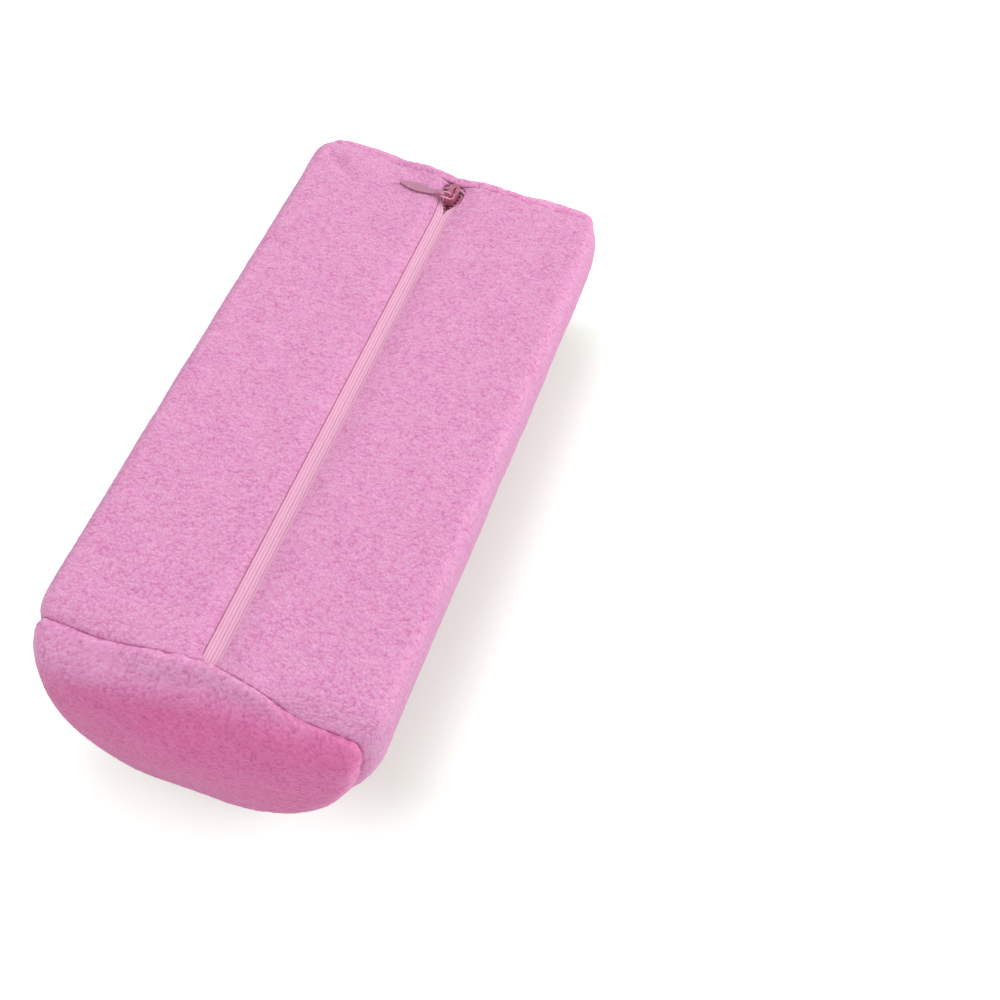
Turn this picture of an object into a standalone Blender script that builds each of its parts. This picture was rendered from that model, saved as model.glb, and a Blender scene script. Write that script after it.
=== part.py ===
"""A manicure hand rest: a half-round foam cushion in a removable towelling cover that closes with a zip.

It lies as photographed, dome down on its flat spot, with the flat zip face up. X runs across, Y along
the zip towards the slider, Z up, and the origin is under the middle of the cushion. All sizes are in metres.
"""

import math

import bpy
import numpy as np
from mathutils import Vector

GAP = 0.0003  # kept between neighbouring pieces that touch on the real one

# The cushion over its cover
LENGTH = 0.300  # over the two bulging ends
WIDTH = 0.130
HEIGHT = 0.075  # from the flat spot under the dome to the zip face
SHOULDER_DROP = 0.0145  # from the zip face down to the widest level
SHOULDER_REACH = 0.0080  # how far the rounding reaches in over the zip face
SHOULDER_POWER = 2.5
DOME_POWER = 1.92
FLAT_SPOT_WIDTH = 0.030
TERRY = 0.0022  # cloth with its loops

# The ends: the wrap turns over towards the end, and a D-shaped panel is sewn to it part of the way round
END_ROUND_IN = 0.0160  # how far the rounding reaches in from the outline
END_ROUND_ALONG = 0.0200  # how far it reaches along the cushion
END_BULGE = 0.0048  # of the panel's middle beyond the rounding
SEAM_TURN = math.radians(32)  # the place of the seam on the rounding
SEAM_PINCH = 0.00635  # how far the seam is drawn in at the middle of the zip face
PINCH_REACH = 0.0410  # from the middle of the zip face to where that ends
PINCH_POWER = 1.1
PINCH_EASE = 0.4  # share of it that is gone where the panel has turned over
SEAM_TUCK = 0.0041  # how deep the cloth dips at the seam, at the sides and the dome
SEAM_TUCK_FACE = 0.0012  # the same on the zip face
TUCK_LENGTH = 0.0140  # of the stretch before the seam over which it dips
TUCK_LENGTH_PANEL = 0.0090  # the same beyond the seam
LEVEL_HALF = 0.0180  # half the width round the zip that stays level up to the seam
LEVEL_END = 0.0450  # from the middle to where the full rounding begins
SEAM_ROLL = 0.0008  # depth of the groove where the two turned edges meet
SEAM_ROLL_LENGTH = 0.0016

# The zip: two tapes under the edges of the cloth, and a coil of teeth under each tape
SLIT_WIDTH = 0.0070  # between the folded cloth edges
SLIT_WIDTH_FOOT = 0.0044  # the same at the seam that the zip opens towards
SLIT_WIDTH_SLIDER = 0.0096  # the same where the cloth parts around the slider
TAPE_REACH = 0.0120  # from the middle of the zip to the outer edge of a tape
TAPE_THICK = 0.0006
TAPE_TUCK = 0.0006  # how far the tapes run on under the end seams
RIB_PITCH = 0.0012
RIB_HEIGHT = 0.0002
RIB_COUNT = 4
COIL_THICK = 0.0013
COIL_SPINE = 0.0008
TOOTH_LENGTH = 0.0011
TOOTH_PITCH = 0.0022
TOOTH_TAPER = 0.7
STOP_LENGTH = 0.0016
STOP_WALL = 0.0004

# The slider
SLIDER_LENGTH = 0.0105
SLIDER_WIDTH = 0.0050
SLIDER_NOSE_LENGTH = 0.0038
PARTING_LENGTH = 0.0125  # over which the two tapes come together behind the slider
SLIDER_RISE = 0.0005  # top of the slider over the zip face
SLIDER_TO_SEAM = 0.0008
PLATE_THICK = 0.0008
FLANGE_THICK = 0.0005
SLOT_WIDTH = 0.0014
SLOT_DEPTH = 0.0013
SLOT_END = 0.0014  # metal left at each end of the slot
BAIL_WIDTH = 0.0010
BAIL_THICK = 0.0006
BAIL_FOOT = 0.0012  # from either end of the slider to the middle of a bail's foot
BAIL_CHAMFER = 0.3  # of its thickness, at the corner over its upright leg
BAIL_SLOPE_POWER = 2.6

# The pull: a wire loop round the bail's rear leg, and a leaf-shaped tab on the loop's two ends
WIRE = 0.0008
LOOP_WIDTH = 0.0043
LOOP_REACH = 0.0036  # from the bail's leg to the tab's hinge
LOOP_CORNER = 0.0006
PIN_LENGTH = 0.0006  # of each wire end inside the tab's neck
PIN_PLAY = 0.0001
EYE_WALL = 0.0004
TAB_LENGTH = 0.0190  # from the hinge to the tip
TAB_WIDTH = 0.0046
TAB_THICK = 0.0009
TAB_EDGE = 0.0002
TIP_WIDTH = 0.0008
NECK_LENGTH = 0.0034
NECK_FLAT = 0.45  # share of the neck's length that keeps its full height
LEAF_SWELL_POWER = 0.75
LEAF_START = 0.16  # where on a full leaf shape, from 0 to 1, the blade begins
LEAF_SKEW = 1.15  # puts its widest place nearer to the neck when above 1

# How finely the round shapes are cut
FACE_POINTS = 7
SHOULDER_POINTS = 7
DOME_POINTS = 11
WIRE_SIDES = 8
SLIDER_NOSE_ANGLES = (20, 40, 60, 78)
NOSE_LEVELS = (0.3, 0.7)  # shares of the cloth's thickness at which its folded edge along the zip is cut
LEAF_STATIONS = (0, 0.1, 0.2, 0.32, 0.46, 0.6, 0.74, 0.86, 0.94, 0.985, 1)
FOOT_STATIONS = (0.1218,)  # distances from the middle at which the wrap is cut before it rounds over
HEAD_STATIONS = (0.1080, 0.1130, 0.1180, 0.1218)  # the same towards the slider, where the slit widens
WRAP_TURNS = [math.radians(angle) for angle in (0, 10, 19, 26)]  # cuts round the end, before the seam
PANEL_TURNS = [math.radians(angle) for angle in (40, 49, 60, 74, 90)]  # and beyond it
PANEL_SHARES = (0.72, 0.42, 0.14)  # of the panel's size, for the cuts over its bulge

HALF_WIDTH = WIDTH / 2
SHOULDER_LEVEL = HEIGHT - SHOULDER_DROP
MID_LEVEL = HEIGHT / 2
FACE_HALF = HALF_WIDTH - SHOULDER_REACH
ROUND_START = (LENGTH - GAP) / 2 - END_BULGE - END_ROUND_ALONG
SEAM_Y = ROUND_START + END_ROUND_ALONG * math.sin(SEAM_TURN)
SEAM_Y_FACE = SEAM_Y - SEAM_PINCH
UNDER_CLOTH = HEIGHT - TERRY
TAPE_TOP = UNDER_CLOTH - GAP
TAPE_BOTTOM = TAPE_TOP - TAPE_THICK
COIL_TOP = TAPE_BOTTOM - GAP
COIL_BOTTOM = COIL_TOP - COIL_THICK
PLATE_TOP = COIL_BOTTOM - GAP
PLATE_BOTTOM = PLATE_TOP - PLATE_THICK
TOOTH_WIDTH = TOOTH_PITCH / 2 - GAP
TOOTH_OVERLAP = TOOTH_LENGTH / 2  # how far the teeth of one coil reach over the middle
SLIDER_Y = SEAM_Y_FACE - SLIDER_TO_SEAM - SLIDER_LENGTH / 2
PARTED = SLIDER_WIDTH / 2 + GAP
FLANGE_IN = TOOTH_LENGTH - TOOTH_OVERLAP + COIL_SPINE + GAP
NECK_HALF = LOOP_WIDTH / 2 - WIRE - GAP
EYE_RADIUS = WIRE / 2 + PIN_PLAY
NECK_RADIUS = EYE_RADIUS + EYE_WALL
HINGE_LEVEL = HEIGHT + GAP + NECK_RADIUS
BAIL_UNDERSIDE = HINGE_LEVEL + WIRE / 2 + GAP
LEG_Y = -SLIDER_LENGTH / 2 + BAIL_FOOT
CHANNEL_HALF = PARTED + FLANGE_IN + FLANGE_THICK + GAP
ZIP_FOOT_Y = -SEAM_Y_FACE + 3 * STOP_LENGTH


def srgb(red, green, blue):
    """A colour as read from a picture, 0 to 255, in the linear values that materials take."""
    return [(value / 255) ** 2.2 for value in (red, green, blue)] + [1.0]


def finish(obj, name, colour, roughness, metallic=0.0):
    """Gives the object its own Principled material."""
    material = bpy.data.materials.new(name)
    material.use_nodes = True
    shader = material.node_tree.nodes["Principled BSDF"]
    shader.inputs["Base Color"].default_value = colour
    shader.inputs["Roughness"].default_value = roughness
    shader.inputs["Metallic"].default_value = metallic
    material.diffuse_color = colour
    obj.data.materials.append(material)
    return obj


def terry(obj):
    return finish(obj, obj.name + "_terry", srgb(226, 152, 198), 0.95)


def woven(obj):
    return finish(obj, obj.name + "_weave", srgb(235, 172, 202), 0.8)


def painted(obj):
    return finish(obj, obj.name + "_paint", srgb(212, 140, 168), 0.35, 0.5)


def mesh_object(name, points, faces, smooth_below=40):
    """A mesh object whose round stretches are shaded smooth."""
    mesh = bpy.data.meshes.new(name)
    mesh.from_pydata([tuple(point) for point in points], [], faces)
    mesh.validate()
    mesh.update()
    mesh.shade_smooth()
    mesh.set_sharp_from_angle(angle=math.radians(smooth_below))
    obj = bpy.data.objects.new(name, mesh)
    bpy.context.scene.collection.objects.link(obj)
    return obj


def loft(name, rings, fanned=False):
    """A closed solid through closed rings of points.

    Each end is filled by quads from side to side, or by a fan of triangles round its middle.
    """
    rings = np.asarray(rings)
    count, size = rings.shape[:2]
    points = rings.reshape(-1, 3)
    faces = []
    for ring in range(count - 1):
        for k in range(size):
            after = (k + 1) % size
            first, second = ring * size, (ring + 1) * size
            faces.append((first + k, first + after, second + after, second + k))
    last = (count - 1) * size
    if fanned:
        points = np.vstack([points, rings[0].mean(axis=0), rings[-1].mean(axis=0)])
        for k in range(size):
            after = (k + 1) % size
            faces.append((after, k, count * size))
            faces.append((last + k, last + after, count * size + 1))
    else:
        for k in range(size // 2 - 1):
            a, b, c, d = k, k + 1, size - 2 - k, size - 1 - k
            faces.append((d, c, b, a))
            faces.append((last + a, last + b, last + c, last + d))
    obj = mesh_object(name, points, faces)
    point_out(obj)
    return obj


def point_out(obj):
    """Turns every face if the volume that they enclose comes out negative."""
    mesh = obj.data
    volume = 0.0
    for polygon in mesh.polygons:
        corners = [mesh.vertices[i].co for i in polygon.vertices]
        for second, third in zip(corners[1:], corners[2:]):
            volume += corners[0].dot(second.cross(third))
    if volume < 0:
        mesh.flip_normals()


def extrude(name, outline, low, high):
    """A prism over a symmetric outline, whose points run round from one end of its axis."""
    outline = np.asarray(outline)
    rings = [np.column_stack([outline, np.full(len(outline), level)]) for level in (low, high)]
    return loft(name, rings)


def combine(target, others, operation):
    """Joins the others to the target, or cuts them from it, and hides them as helpers."""
    for other in others:
        modifier = target.modifiers.new(other.name, "BOOLEAN")
        modifier.operation = operation
        modifier.solver = "EXACT"
        modifier.object = other
        other.hide_render = True
        other.display_type = "WIRE"


def block(name, low, high):
    """A box between two corners."""
    (x0, y0, z0), (x1, y1, z1) = low, high
    outline = [(x0, y0), (x1, y0), (x1, y1), (x0, y1)]
    return extrude(name, outline, z0, z1)


def smoothstep(value, start, end):
    share = np.clip((value - start) / (end - start), 0, 1)
    return share * share * (3 - 2 * share)


# The cushion's form

def slit_half(y):
    """Half the width between the folded cloth edges: narrow at the foot of the zip, wide round the slider."""
    foot = smoothstep(-y, -ZIP_FOOT_Y, SEAM_Y_FACE)
    head = smoothstep(y, SLIDER_Y - SLIDER_LENGTH / 2 - PARTING_LENGTH, SLIDER_Y)
    width = SLIT_WIDTH + foot * (SLIT_WIDTH_FOOT - SLIT_WIDTH) + head * (SLIT_WIDTH_SLIDER - SLIT_WIDTH)
    return width / 2


def half_section(slit):
    """The right half of the cover's section as (x, z), from the slit in the zip face to the flat spot."""
    face_x = [slit + TERRY / 3, *np.linspace(LEVEL_HALF, FACE_HALF, FACE_POINTS - 1)]
    face = [(x, HEIGHT) for x in face_x]
    turn = np.radians(np.linspace(90, 0, SHOULDER_POINTS + 1))[1:]
    shoulder_x = FACE_HALF + SHOULDER_REACH * np.cos(turn) ** (2 / SHOULDER_POWER)
    shoulder_z = SHOULDER_LEVEL + SHOULDER_DROP * np.sin(turn) ** (2 / SHOULDER_POWER)
    spot = FLAT_SPOT_WIDTH / 2
    turn = np.radians(np.linspace(0, 90, DOME_POINTS + 1))[1:]
    dome_x = spot + (HALF_WIDTH - spot) * np.abs(np.cos(turn)) ** (2 / DOME_POWER)
    dome_z = SHOULDER_LEVEL - SHOULDER_LEVEL * np.sin(turn) ** (2 / DOME_POWER)
    dome_z[-1] = 0.0
    return np.array(face + list(zip(shoulder_x, shoulder_z)) + list(zip(dome_x, dome_z)))


def set_in(section, inset):
    """The section moved inwards along its own normals, by an own distance for each point."""
    before = np.vstack([section[:1] * [-1, 1], section[:-1]])
    after = np.vstack([section[1:], section[-1:] * [-1, 1]])
    along = after - before
    along /= np.linalg.norm(along, axis=1)[:, None]
    moved = section + inset[:, None] * np.column_stack([along[:, 1], -along[:, 0]])
    moved[:FACE_POINTS, 1] = HEIGHT - inset[:FACE_POINTS]
    moved[-1, 1] = inset[-1]
    return moved


def seam_dip(along, turn):
    """The share of the dip at the seam, at a distance along the cushion and an angle round its end."""
    beyond = END_ROUND_ALONG * (turn - SEAM_TURN)
    before = SEAM_Y - along - END_ROUND_ALONG * math.sin(turn)
    share = 1 - beyond / TUCK_LENGTH_PANEL if beyond > 0 else 1 - before / TUCK_LENGTH
    return max(0.0, share) ** 2


def ring(side, along, turn=0.0, inset=0.0, slit=None, share=1.0, roll=0.0):
    """The outline of the cushion at one cut, set in from the outside of the cloth.

    The cut lies at a distance along from the middle, towards the end that side names, and from there at an
    angle of turn round the end. A share below 1 is a smaller copy of the last cut, on the panel's bulge.
    Only the right half is computed, and its mirror image completes it.
    """
    reach = along + END_ROUND_ALONG * math.sin(turn)
    outer = half_section(slit_half(side * reach * SEAM_Y_FACE / SEAM_Y) if slit is None else slit)
    high = np.clip((outer[:, 1] - SHOULDER_LEVEL) / SHOULDER_DROP, 0, 1)
    level = high * (1 - smoothstep(outer[:, 0], LEVEL_HALF, LEVEL_END))
    angle = turn * (1 - level * (1 - smoothstep(turn, SEAM_TURN, math.pi / 2)))
    tuck = seam_dip(along, turn) * (SEAM_TUCK + (SEAM_TUCK_FACE - SEAM_TUCK) * high) * (1 - level)
    half = set_in(outer, inset * np.cos(angle))
    shrink = END_ROUND_IN * (1 - np.cos(angle)) + tuck * np.cos(angle) + roll
    x = half[:, 0] * (1 - shrink / HALF_WIDTH) * share
    z = MID_LEVEL + (half[:, 1] - MID_LEVEL) * (1 - shrink / MID_LEVEL) * share
    size = share * (1 - END_ROUND_IN * (1 - math.cos(max(turn, SEAM_TURN))) / HALF_WIDTH)
    seam_size = 1 - END_ROUND_IN * (1 - math.cos(SEAM_TURN)) / HALF_WIDTH
    bulge = END_BULGE * (1 - (size / seam_size) ** 2)
    pinch = high * np.clip(1 - outer[:, 0] / PINCH_REACH, 0, 1) ** PINCH_POWER
    eased = 1 - PINCH_EASE * smoothstep(turn, SEAM_TURN, math.pi / 2)
    pinch *= SEAM_PINCH * eased * share**2 * min(1, reach / SEAM_Y)
    y = reach + bulge - (tuck + inset) * np.sin(angle) - pinch
    right = np.column_stack([x, side * y, z])
    return np.vstack([right, right[::-1] * [-1, 1, 1]])


def move_y(points, distance):
    return points + np.array([0.0, distance, 0.0])


def cover_wrap():
    """The one piece of towelling that goes round the cushion, from one side of the zip to the other."""
    before_seam = SEAM_TURN - SEAM_ROLL_LENGTH / END_ROUND_ALONG
    cuts = {
        -1: [(along, 0.0, 0.0) for along in FOOT_STATIONS],
        1: [(along, 0.0, 0.0) for along in HEAD_STATIONS],
    }
    for cut in cuts.values():
        cut += [(ROUND_START, turn, 0.0) for turn in (*WRAP_TURNS, before_seam)]
        cut.append((ROUND_START, SEAM_TURN, SEAM_ROLL))
    rings = []
    for side, along, turn, roll in [(-1, *cut) for cut in cuts[-1][::-1]] + [(1, *cut) for cut in cuts[1]]:
        away = -side * GAP / 2 if turn == SEAM_TURN else 0.0
        outer = move_y(ring(side, along, turn, roll=roll), away)
        inner = move_y(ring(side, along, turn, TERRY), away)
        slit = slit_half(outer[0, 1])
        noses = [(slit, outer[0, 1], HEIGHT - TERRY * depth - roll / 2) for depth in NOSE_LEVELS]
        left = [(-x, y, z) for x, y, z in noses]
        rings.append([noses[0], *outer, left[0], left[1], *inner[::-1], noses[1]])
    return terry(loft("cover_wrap", rings))


def panel_rings(side, inset, roll=0.0):
    """The cuts over one end from the seam to near its middle."""
    rings = [ring(side, ROUND_START, SEAM_TURN, inset, 0.0, roll=roll)]
    rings += [ring(side, ROUND_START, turn, inset, 0.0) for turn in PANEL_TURNS]
    rings += [ring(side, ROUND_START, PANEL_TURNS[-1], inset, 0.0, share) for share in PANEL_SHARES]
    return rings


def end_panel(name, side):
    """A D-shaped panel of towelling, dished over the end of the cushion."""
    rings = panel_rings(side, 0.0, SEAM_ROLL)[::-1] + panel_rings(side, TERRY)
    return terry(loft(name, [move_y(points, side * GAP / 2) for points in rings], fanned=True))


def foam_core():
    """The foam block, pressed in along its top by the tapes, the coils and the slider's travel."""
    inset = TERRY + GAP
    rings = []
    for side in (-1, 1):
        half = [ring(side, FOOT_STATIONS[-1], 0.0, inset, 0.0)]
        half += [ring(side, ROUND_START, turn, inset, 0.0) for turn in WRAP_TURNS]
        half += panel_rings(side, inset)
        rings += half[::-1] if side < 0 else half
    core = loft("foam_core", rings, fanned=True)
    reach = SEAM_Y_FACE + TAPE_TUCK + TERRY
    above = HEIGHT + TERRY
    tape_bed = block(
        "tape_bed",
        (-TAPE_REACH - GAP, -reach, TAPE_BOTTOM - GAP),
        (TAPE_REACH + GAP, reach, above),
    )
    channel = block(
        "slider_channel",
        (-CHANNEL_HALF, -reach - TERRY, PLATE_BOTTOM - GAP),
        (CHANNEL_HALF, reach + TERRY, above),
    )
    combine(core, [tape_bed, channel], "DIFFERENCE")
    return finish(core, "foam", srgb(244, 240, 226), 0.9)


# The zip

def parting(y):
    """How far a tape's inner edge is from the middle: closed up to the slider, and parted round it."""
    start = SLIDER_Y - PARTING_LENGTH
    return GAP / 2 + (PARTED - GAP / 2) * smoothstep(y, start, SLIDER_Y + SLIDER_LENGTH / 8)


def zip_tape(name, side):
    """A woven tape with ribs along its visible edge, sewn under the cloth."""
    last = SEAM_Y_FACE + TAPE_TUCK
    start = SLIDER_Y - PARTING_LENGTH
    stations = [-last, *np.linspace(start, SLIDER_Y + SLIDER_LENGTH / 8, 9), last]
    rings = []
    for y in stations:
        inner = parting(y)
        levels = [TAPE_TOP - RIB_HEIGHT * (k % 2 == 0) for k in range(2 * RIB_COUNT)]
        top = [(inner + k * RIB_PITCH / 2, level) for k, level in enumerate(levels)]
        top.append((TAPE_REACH, TAPE_TOP))
        bottom = [(x, TAPE_BOTTOM) for x, _ in top]
        rings.append([(side * x, y, z) for x, z in top + bottom[::-1]])
    return woven(loft(name, rings))


def zip_coil(name, side):
    """One coil: a spine with a tooth at every pitch, which passes between two teeth of the other coil."""
    phase = TOOTH_PITCH / 2 if side > 0 else 0.0
    first = ZIP_FOOT_Y + STOP_WALL + GAP + phase
    last = SEAM_Y_FACE - STOP_WALL - GAP
    count = int((last - first) / TOOTH_PITCH)
    points, faces = [], []

    def pair(x, y):
        points.append((side * x, y, COIL_BOTTOM))
        points.append((side * x, y, COIL_TOP))
        return len(points) - 2

    def wall(a, b):
        faces.append((a, b, b + 1, a + 1))

    def cell(a, b, c, d):
        faces.append((a, b, c, d))
        faces.append((d + 1, c + 1, b + 1, a + 1))

    before = None
    for tooth in range(count):
        start = first + tooth * TOOTH_PITCH
        stops = (start, start + TOOTH_WIDTH)
        root = [parting(y) + TOOTH_LENGTH - TOOTH_OVERLAP for y in stops]
        spine = [(pair(x, y), pair(x + COIL_SPINE, y)) for x, y in zip(root, stops)]
        middle = start + TOOTH_WIDTH / 2
        half_tip = TOOTH_WIDTH / 2 * TOOTH_TAPER
        tips = [pair(parting(middle) - TOOTH_OVERLAP, middle + sign * half_tip) for sign in (-1, 1)]
        (in_a, out_a), (in_b, out_b) = spine
        if before:
            cell(before[0], in_a, out_a, before[1])
            wall(in_a, before[0])
            wall(before[1], out_a)
        else:
            wall(in_a, out_a)
        cell(in_a, in_b, out_b, out_a)
        wall(out_a, out_b)
        cell(tips[0], tips[1], in_b, in_a)
        wall(in_b, tips[1])
        wall(tips[1], tips[0])
        wall(tips[0], in_a)
        before = spine[1]
    wall(before[1], before[0])
    obj = mesh_object(name, points, faces)
    point_out(obj)
    return finish(obj, name + "_nylon", srgb(231, 160, 192), 0.5)


def slider_outline(margin, rear=0.0, nose=0.0):
    """The slider's drop-shaped outline in its own frame, narrower all round by the margin.

    Its sides follow the parted tapes, and its nose is half an ellipse.
    """
    back = -SLIDER_LENGTH / 2 + rear
    shoulder = SLIDER_LENGTH / 2 - SLIDER_NOSE_LENGTH
    side = [(parting(SLIDER_Y + y) - GAP - margin, y) for y in np.linspace(back, shoulder, 6)]
    front = SLIDER_NOSE_LENGTH - nose
    turn = np.radians(SLIDER_NOSE_ANGLES)
    half_width = side[-1][0]
    side += [(half_width * math.cos(t), shoulder + front * math.sin(t)) for t in turn]
    return side + [(-x, y) for x, y in side[::-1]]


def flange_strip(side, low, high):
    """The wall that holds one coil in the slider's channel, in the slider's own frame."""
    ys = np.linspace(-SLIDER_LENGTH / 2 + GAP, SLIDER_LENGTH / 2 - BAIL_FOOT, 6)
    rings = []
    for y in ys:
        inner = parting(SLIDER_Y + y) + FLANGE_IN
        outer = inner + FLANGE_THICK
        corners = [(inner, low), (inner, high), (outer, high), (outer, low)]
        rings.append([(side * x, y, z) for x, z in corners])
    return loft(f"flange_{side}", rings)


def bottom_plate():
    """The slider's hidden plate under the coils, in its own frame."""
    ys = np.linspace(-SLIDER_LENGTH / 2 + GAP, SLIDER_LENGTH / 2 - BAIL_FOOT, 6)
    right = [(parting(SLIDER_Y + y) + FLANGE_IN + FLANGE_THICK, y) for y in ys]
    outline = right + [(-x, y) for x, y in right[::-1]]
    return extrude("bottom_plate", outline, PLATE_BOTTOM - HEIGHT, PLATE_TOP - HEIGHT)


def bail():
    """The strap along the slider: upright at the rear, and sloping down to the nose."""
    top = BAIL_UNDERSIDE + BAIL_THICK / 2 - HEIGHT
    foot = SLIDER_RISE - BAIL_THICK
    nose = SLIDER_LENGTH / 2 - BAIL_FOOT
    clear = LEG_Y + LOOP_WIDTH / 2 + GAP
    corner, chamfer = BAIL_THICK, BAIL_THICK * BAIL_CHAMFER
    path = [(LEG_Y, foot), (LEG_Y, top - corner), (LEG_Y + chamfer, top - chamfer), (LEG_Y + corner, top)]
    for share in np.linspace(0, 1, 7):
        y = clear + share * (nose - clear)
        path.append((y, foot + (top - foot) * (1 - share**BAIL_SLOPE_POWER)))
    half_width, half_thick = BAIL_WIDTH / 2, BAIL_THICK / 2
    rings = []
    for k, (y, z) in enumerate(path):
        back, ahead = path[max(k - 1, 0)], path[min(k + 1, len(path) - 1)]
        along = Vector((ahead[0] - back[0], ahead[1] - back[1])).normalized()
        up = (-along.y * half_thick, along.x * half_thick)
        rings.append(
            [
                (-half_width, y + up[0], z + up[1]),
                (half_width, y + up[0], z + up[1]),
                (half_width, y - up[0], z - up[1]),
                (-half_width, y - up[0], z - up[1]),
            ]
        )
    return loft("bail", rings)


def slider_body():
    """The cast slider: head, post, plate, flanges and bail, with a slot under the bail."""
    join = PLATE_THICK / 2
    head_low = COIL_TOP + GAP - HEIGHT
    body = extrude("slider_body", slider_outline(0.0), head_low, SLIDER_RISE)
    post = extrude(
        "slider_post",
        slider_outline(TOOTH_OVERLAP, rear=SLIDER_LENGTH / 2, nose=BAIL_FOOT),
        PLATE_TOP - HEIGHT - join,
        head_low + join,
    )
    flange_top = TAPE_BOTTOM - HEIGHT - GAP
    flanges = [flange_strip(side, PLATE_TOP - HEIGHT - join, flange_top) for side in (-1, 1)]
    plate = bottom_plate()
    strap = bail()
    half = SLOT_WIDTH / 2
    reach = SLIDER_LENGTH / 2 - SLOT_END
    slot = block(
        "slider_slot",
        (-half, LEG_Y + BAIL_THICK, SLIDER_RISE - SLOT_DEPTH),
        (half, reach - BAIL_FOOT, SLIDER_RISE + SLOT_DEPTH),
    )
    combine(body, [slot], "DIFFERENCE")
    combine(body, [post, plate, *flanges, strap], "UNION")
    body.location = (0.0, SLIDER_Y, HEIGHT)
    for helper in (slot, post, plate, *flanges, strap):
        helper.parent = body
    return painted(body)


def stop(name, low_x, high_x, y, closed):
    """A crimped metal stop: a channel under a coil's last tooth, with a wall at its closed end, -1 or 1."""
    low = COIL_BOTTOM - GAP - STOP_WALL
    outer = block(name, (low_x - STOP_WALL, y, low), (high_x + STOP_WALL, y + STOP_LENGTH, COIL_TOP))
    shift = -closed * STOP_WALL
    room = STOP_LENGTH if closed < 0 else 0.0
    inner = block(
        name + "_seat",
        (low_x, y + shift - STOP_LENGTH + room, COIL_BOTTOM - GAP),
        (high_x, y + shift + STOP_LENGTH + room, HEIGHT),
    )
    combine(outer, [inner], "DIFFERENCE")
    return finish(outer, name + "_metal", srgb(214, 190, 198), 0.4, 0.8)


# The pull

def wire_path():
    """The loop's centre line in its own frame: from one pin, round the bail's leg, to the other pin."""
    half = (LOOP_WIDTH - WIRE) / 2
    pin = NECK_HALF - PIN_LENGTH
    corner = [math.radians(a) for a in (0, 30, 60, 90)]
    arm = [
        (LOOP_REACH - LOOP_CORNER + LOOP_CORNER * math.cos(t), half - LOOP_CORNER + LOOP_CORNER * math.sin(t))
        for t in corner
    ]
    bend = [math.radians(a) for a in range(90, 180, 15)]
    back = [(half * math.cos(t), half * math.sin(t)) for t in bend]
    upper = [(LOOP_REACH, pin), *arm, *back]
    return upper + [(-half, 0.0)] + [(x, -y) for x, y in upper[::-1]]


def pull_loop(slider):
    """The wire loop, which swivels about the bail's rear leg. Its own +X points along the pull."""
    path = wire_path()
    turn = np.linspace(0, 2 * math.pi, WIRE_SIDES, endpoint=False)
    rings = []
    for k, (x, y) in enumerate(path):
        back, ahead = path[max(k - 1, 0)], path[min(k + 1, len(path) - 1)]
        along = Vector((ahead[0] - back[0], ahead[1] - back[1])).normalized()
        if k in (0, len(path) - 1):
            along = Vector((0.0, 1.0 if k == 0 else -1.0))
        side = np.array([-along.y, along.x, 0.0])
        centre = np.array([x, y, 0.0])
        rings.append(
            [centre + WIRE / 2 * (side * math.cos(t) + np.array([0.0, 0.0, math.sin(t)])) for t in turn]
        )
    loop = loft("pull_loop", rings)
    loop.parent = slider
    loop.location = (0.0, LEG_Y, HINGE_LEVEL - HEIGHT)
    loop.rotation_euler.z = math.pi
    return painted(loop)


def leaf_outline():
    """The tab's outline from its neck to its tip, as (x, half width), with x from the hinge."""
    blade = TAB_LENGTH - NECK_LENGTH
    points = []
    for share in LEAF_STATIONS:
        swell = math.sin(math.pi * (LEAF_START + (1 - LEAF_START) * share) ** LEAF_SKEW)
        narrow = NECK_HALF * (1 - share) * LEAF_SWELL_POWER
        width = max(TAB_WIDTH / 2 * max(0.0, swell) ** LEAF_SWELL_POWER, narrow, TIP_WIDTH / 2)
        points.append((NECK_LENGTH + blade * share, width))
    return points


def pull_tab(loop):
    """The leaf-shaped tab. Its neck has a round end with an eye that the two wire ends turn in."""
    back = -NECK_RADIUS
    turn = [math.radians(a) for a in range(90, 271, 20)]
    round_end = [(NECK_RADIUS * math.cos(t), NECK_RADIUS * math.sin(t)) for t in turn]
    top_slope = [(NECK_LENGTH, back + TAB_THICK), (NECK_LENGTH * NECK_FLAT, NECK_RADIUS)]
    profile = round_end + [(NECK_LENGTH + GAP, back)] + [(NECK_LENGTH + GAP, back + TAB_THICK)] + top_slope
    sides = [[(x, width, z) for x, z in profile] for width in (-NECK_HALF, NECK_HALF)]
    neck = prism("tab_neck", sides)
    right = [(x, width) for x, width in leaf_outline()]
    blade = extrude("pull_tab", right + [(x, -width) for x, width in right[::-1]], back, back + TAB_THICK)
    edge = blade.modifiers.new("soft edge", "BEVEL")
    edge.width = TAB_EDGE
    edge.segments = 2
    edge.limit_method = "ANGLE"
    edge.angle_limit = math.radians(60)
    turn = [math.radians(a) for a in range(0, 360, 30)]
    circle = [(EYE_RADIUS * math.cos(t), EYE_RADIUS * math.sin(t)) for t in turn]
    eye = prism("tab_eye", [[(x, width, z) for x, z in circle] for width in (-LOOP_WIDTH, LOOP_WIDTH)])
    combine(blade, [neck], "UNION")
    combine(blade, [eye], "DIFFERENCE")
    for piece in (blade, neck, eye):
        piece.parent = loop
        piece.location = (LOOP_REACH, 0.0, 0.0)
    return painted(blade)


def prism(name, sides):
    """A solid between two equal outlines of any shape."""
    size = len(sides[0])
    faces = [tuple(range(size)), tuple(range(2 * size - 1, size - 1, -1))]
    faces += [(k, k + size, (k + 1) % size + size, (k + 1) % size) for k in range(size)]
    obj = mesh_object(name, [point for outline in sides for point in outline], faces)
    point_out(obj)
    return obj


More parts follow.
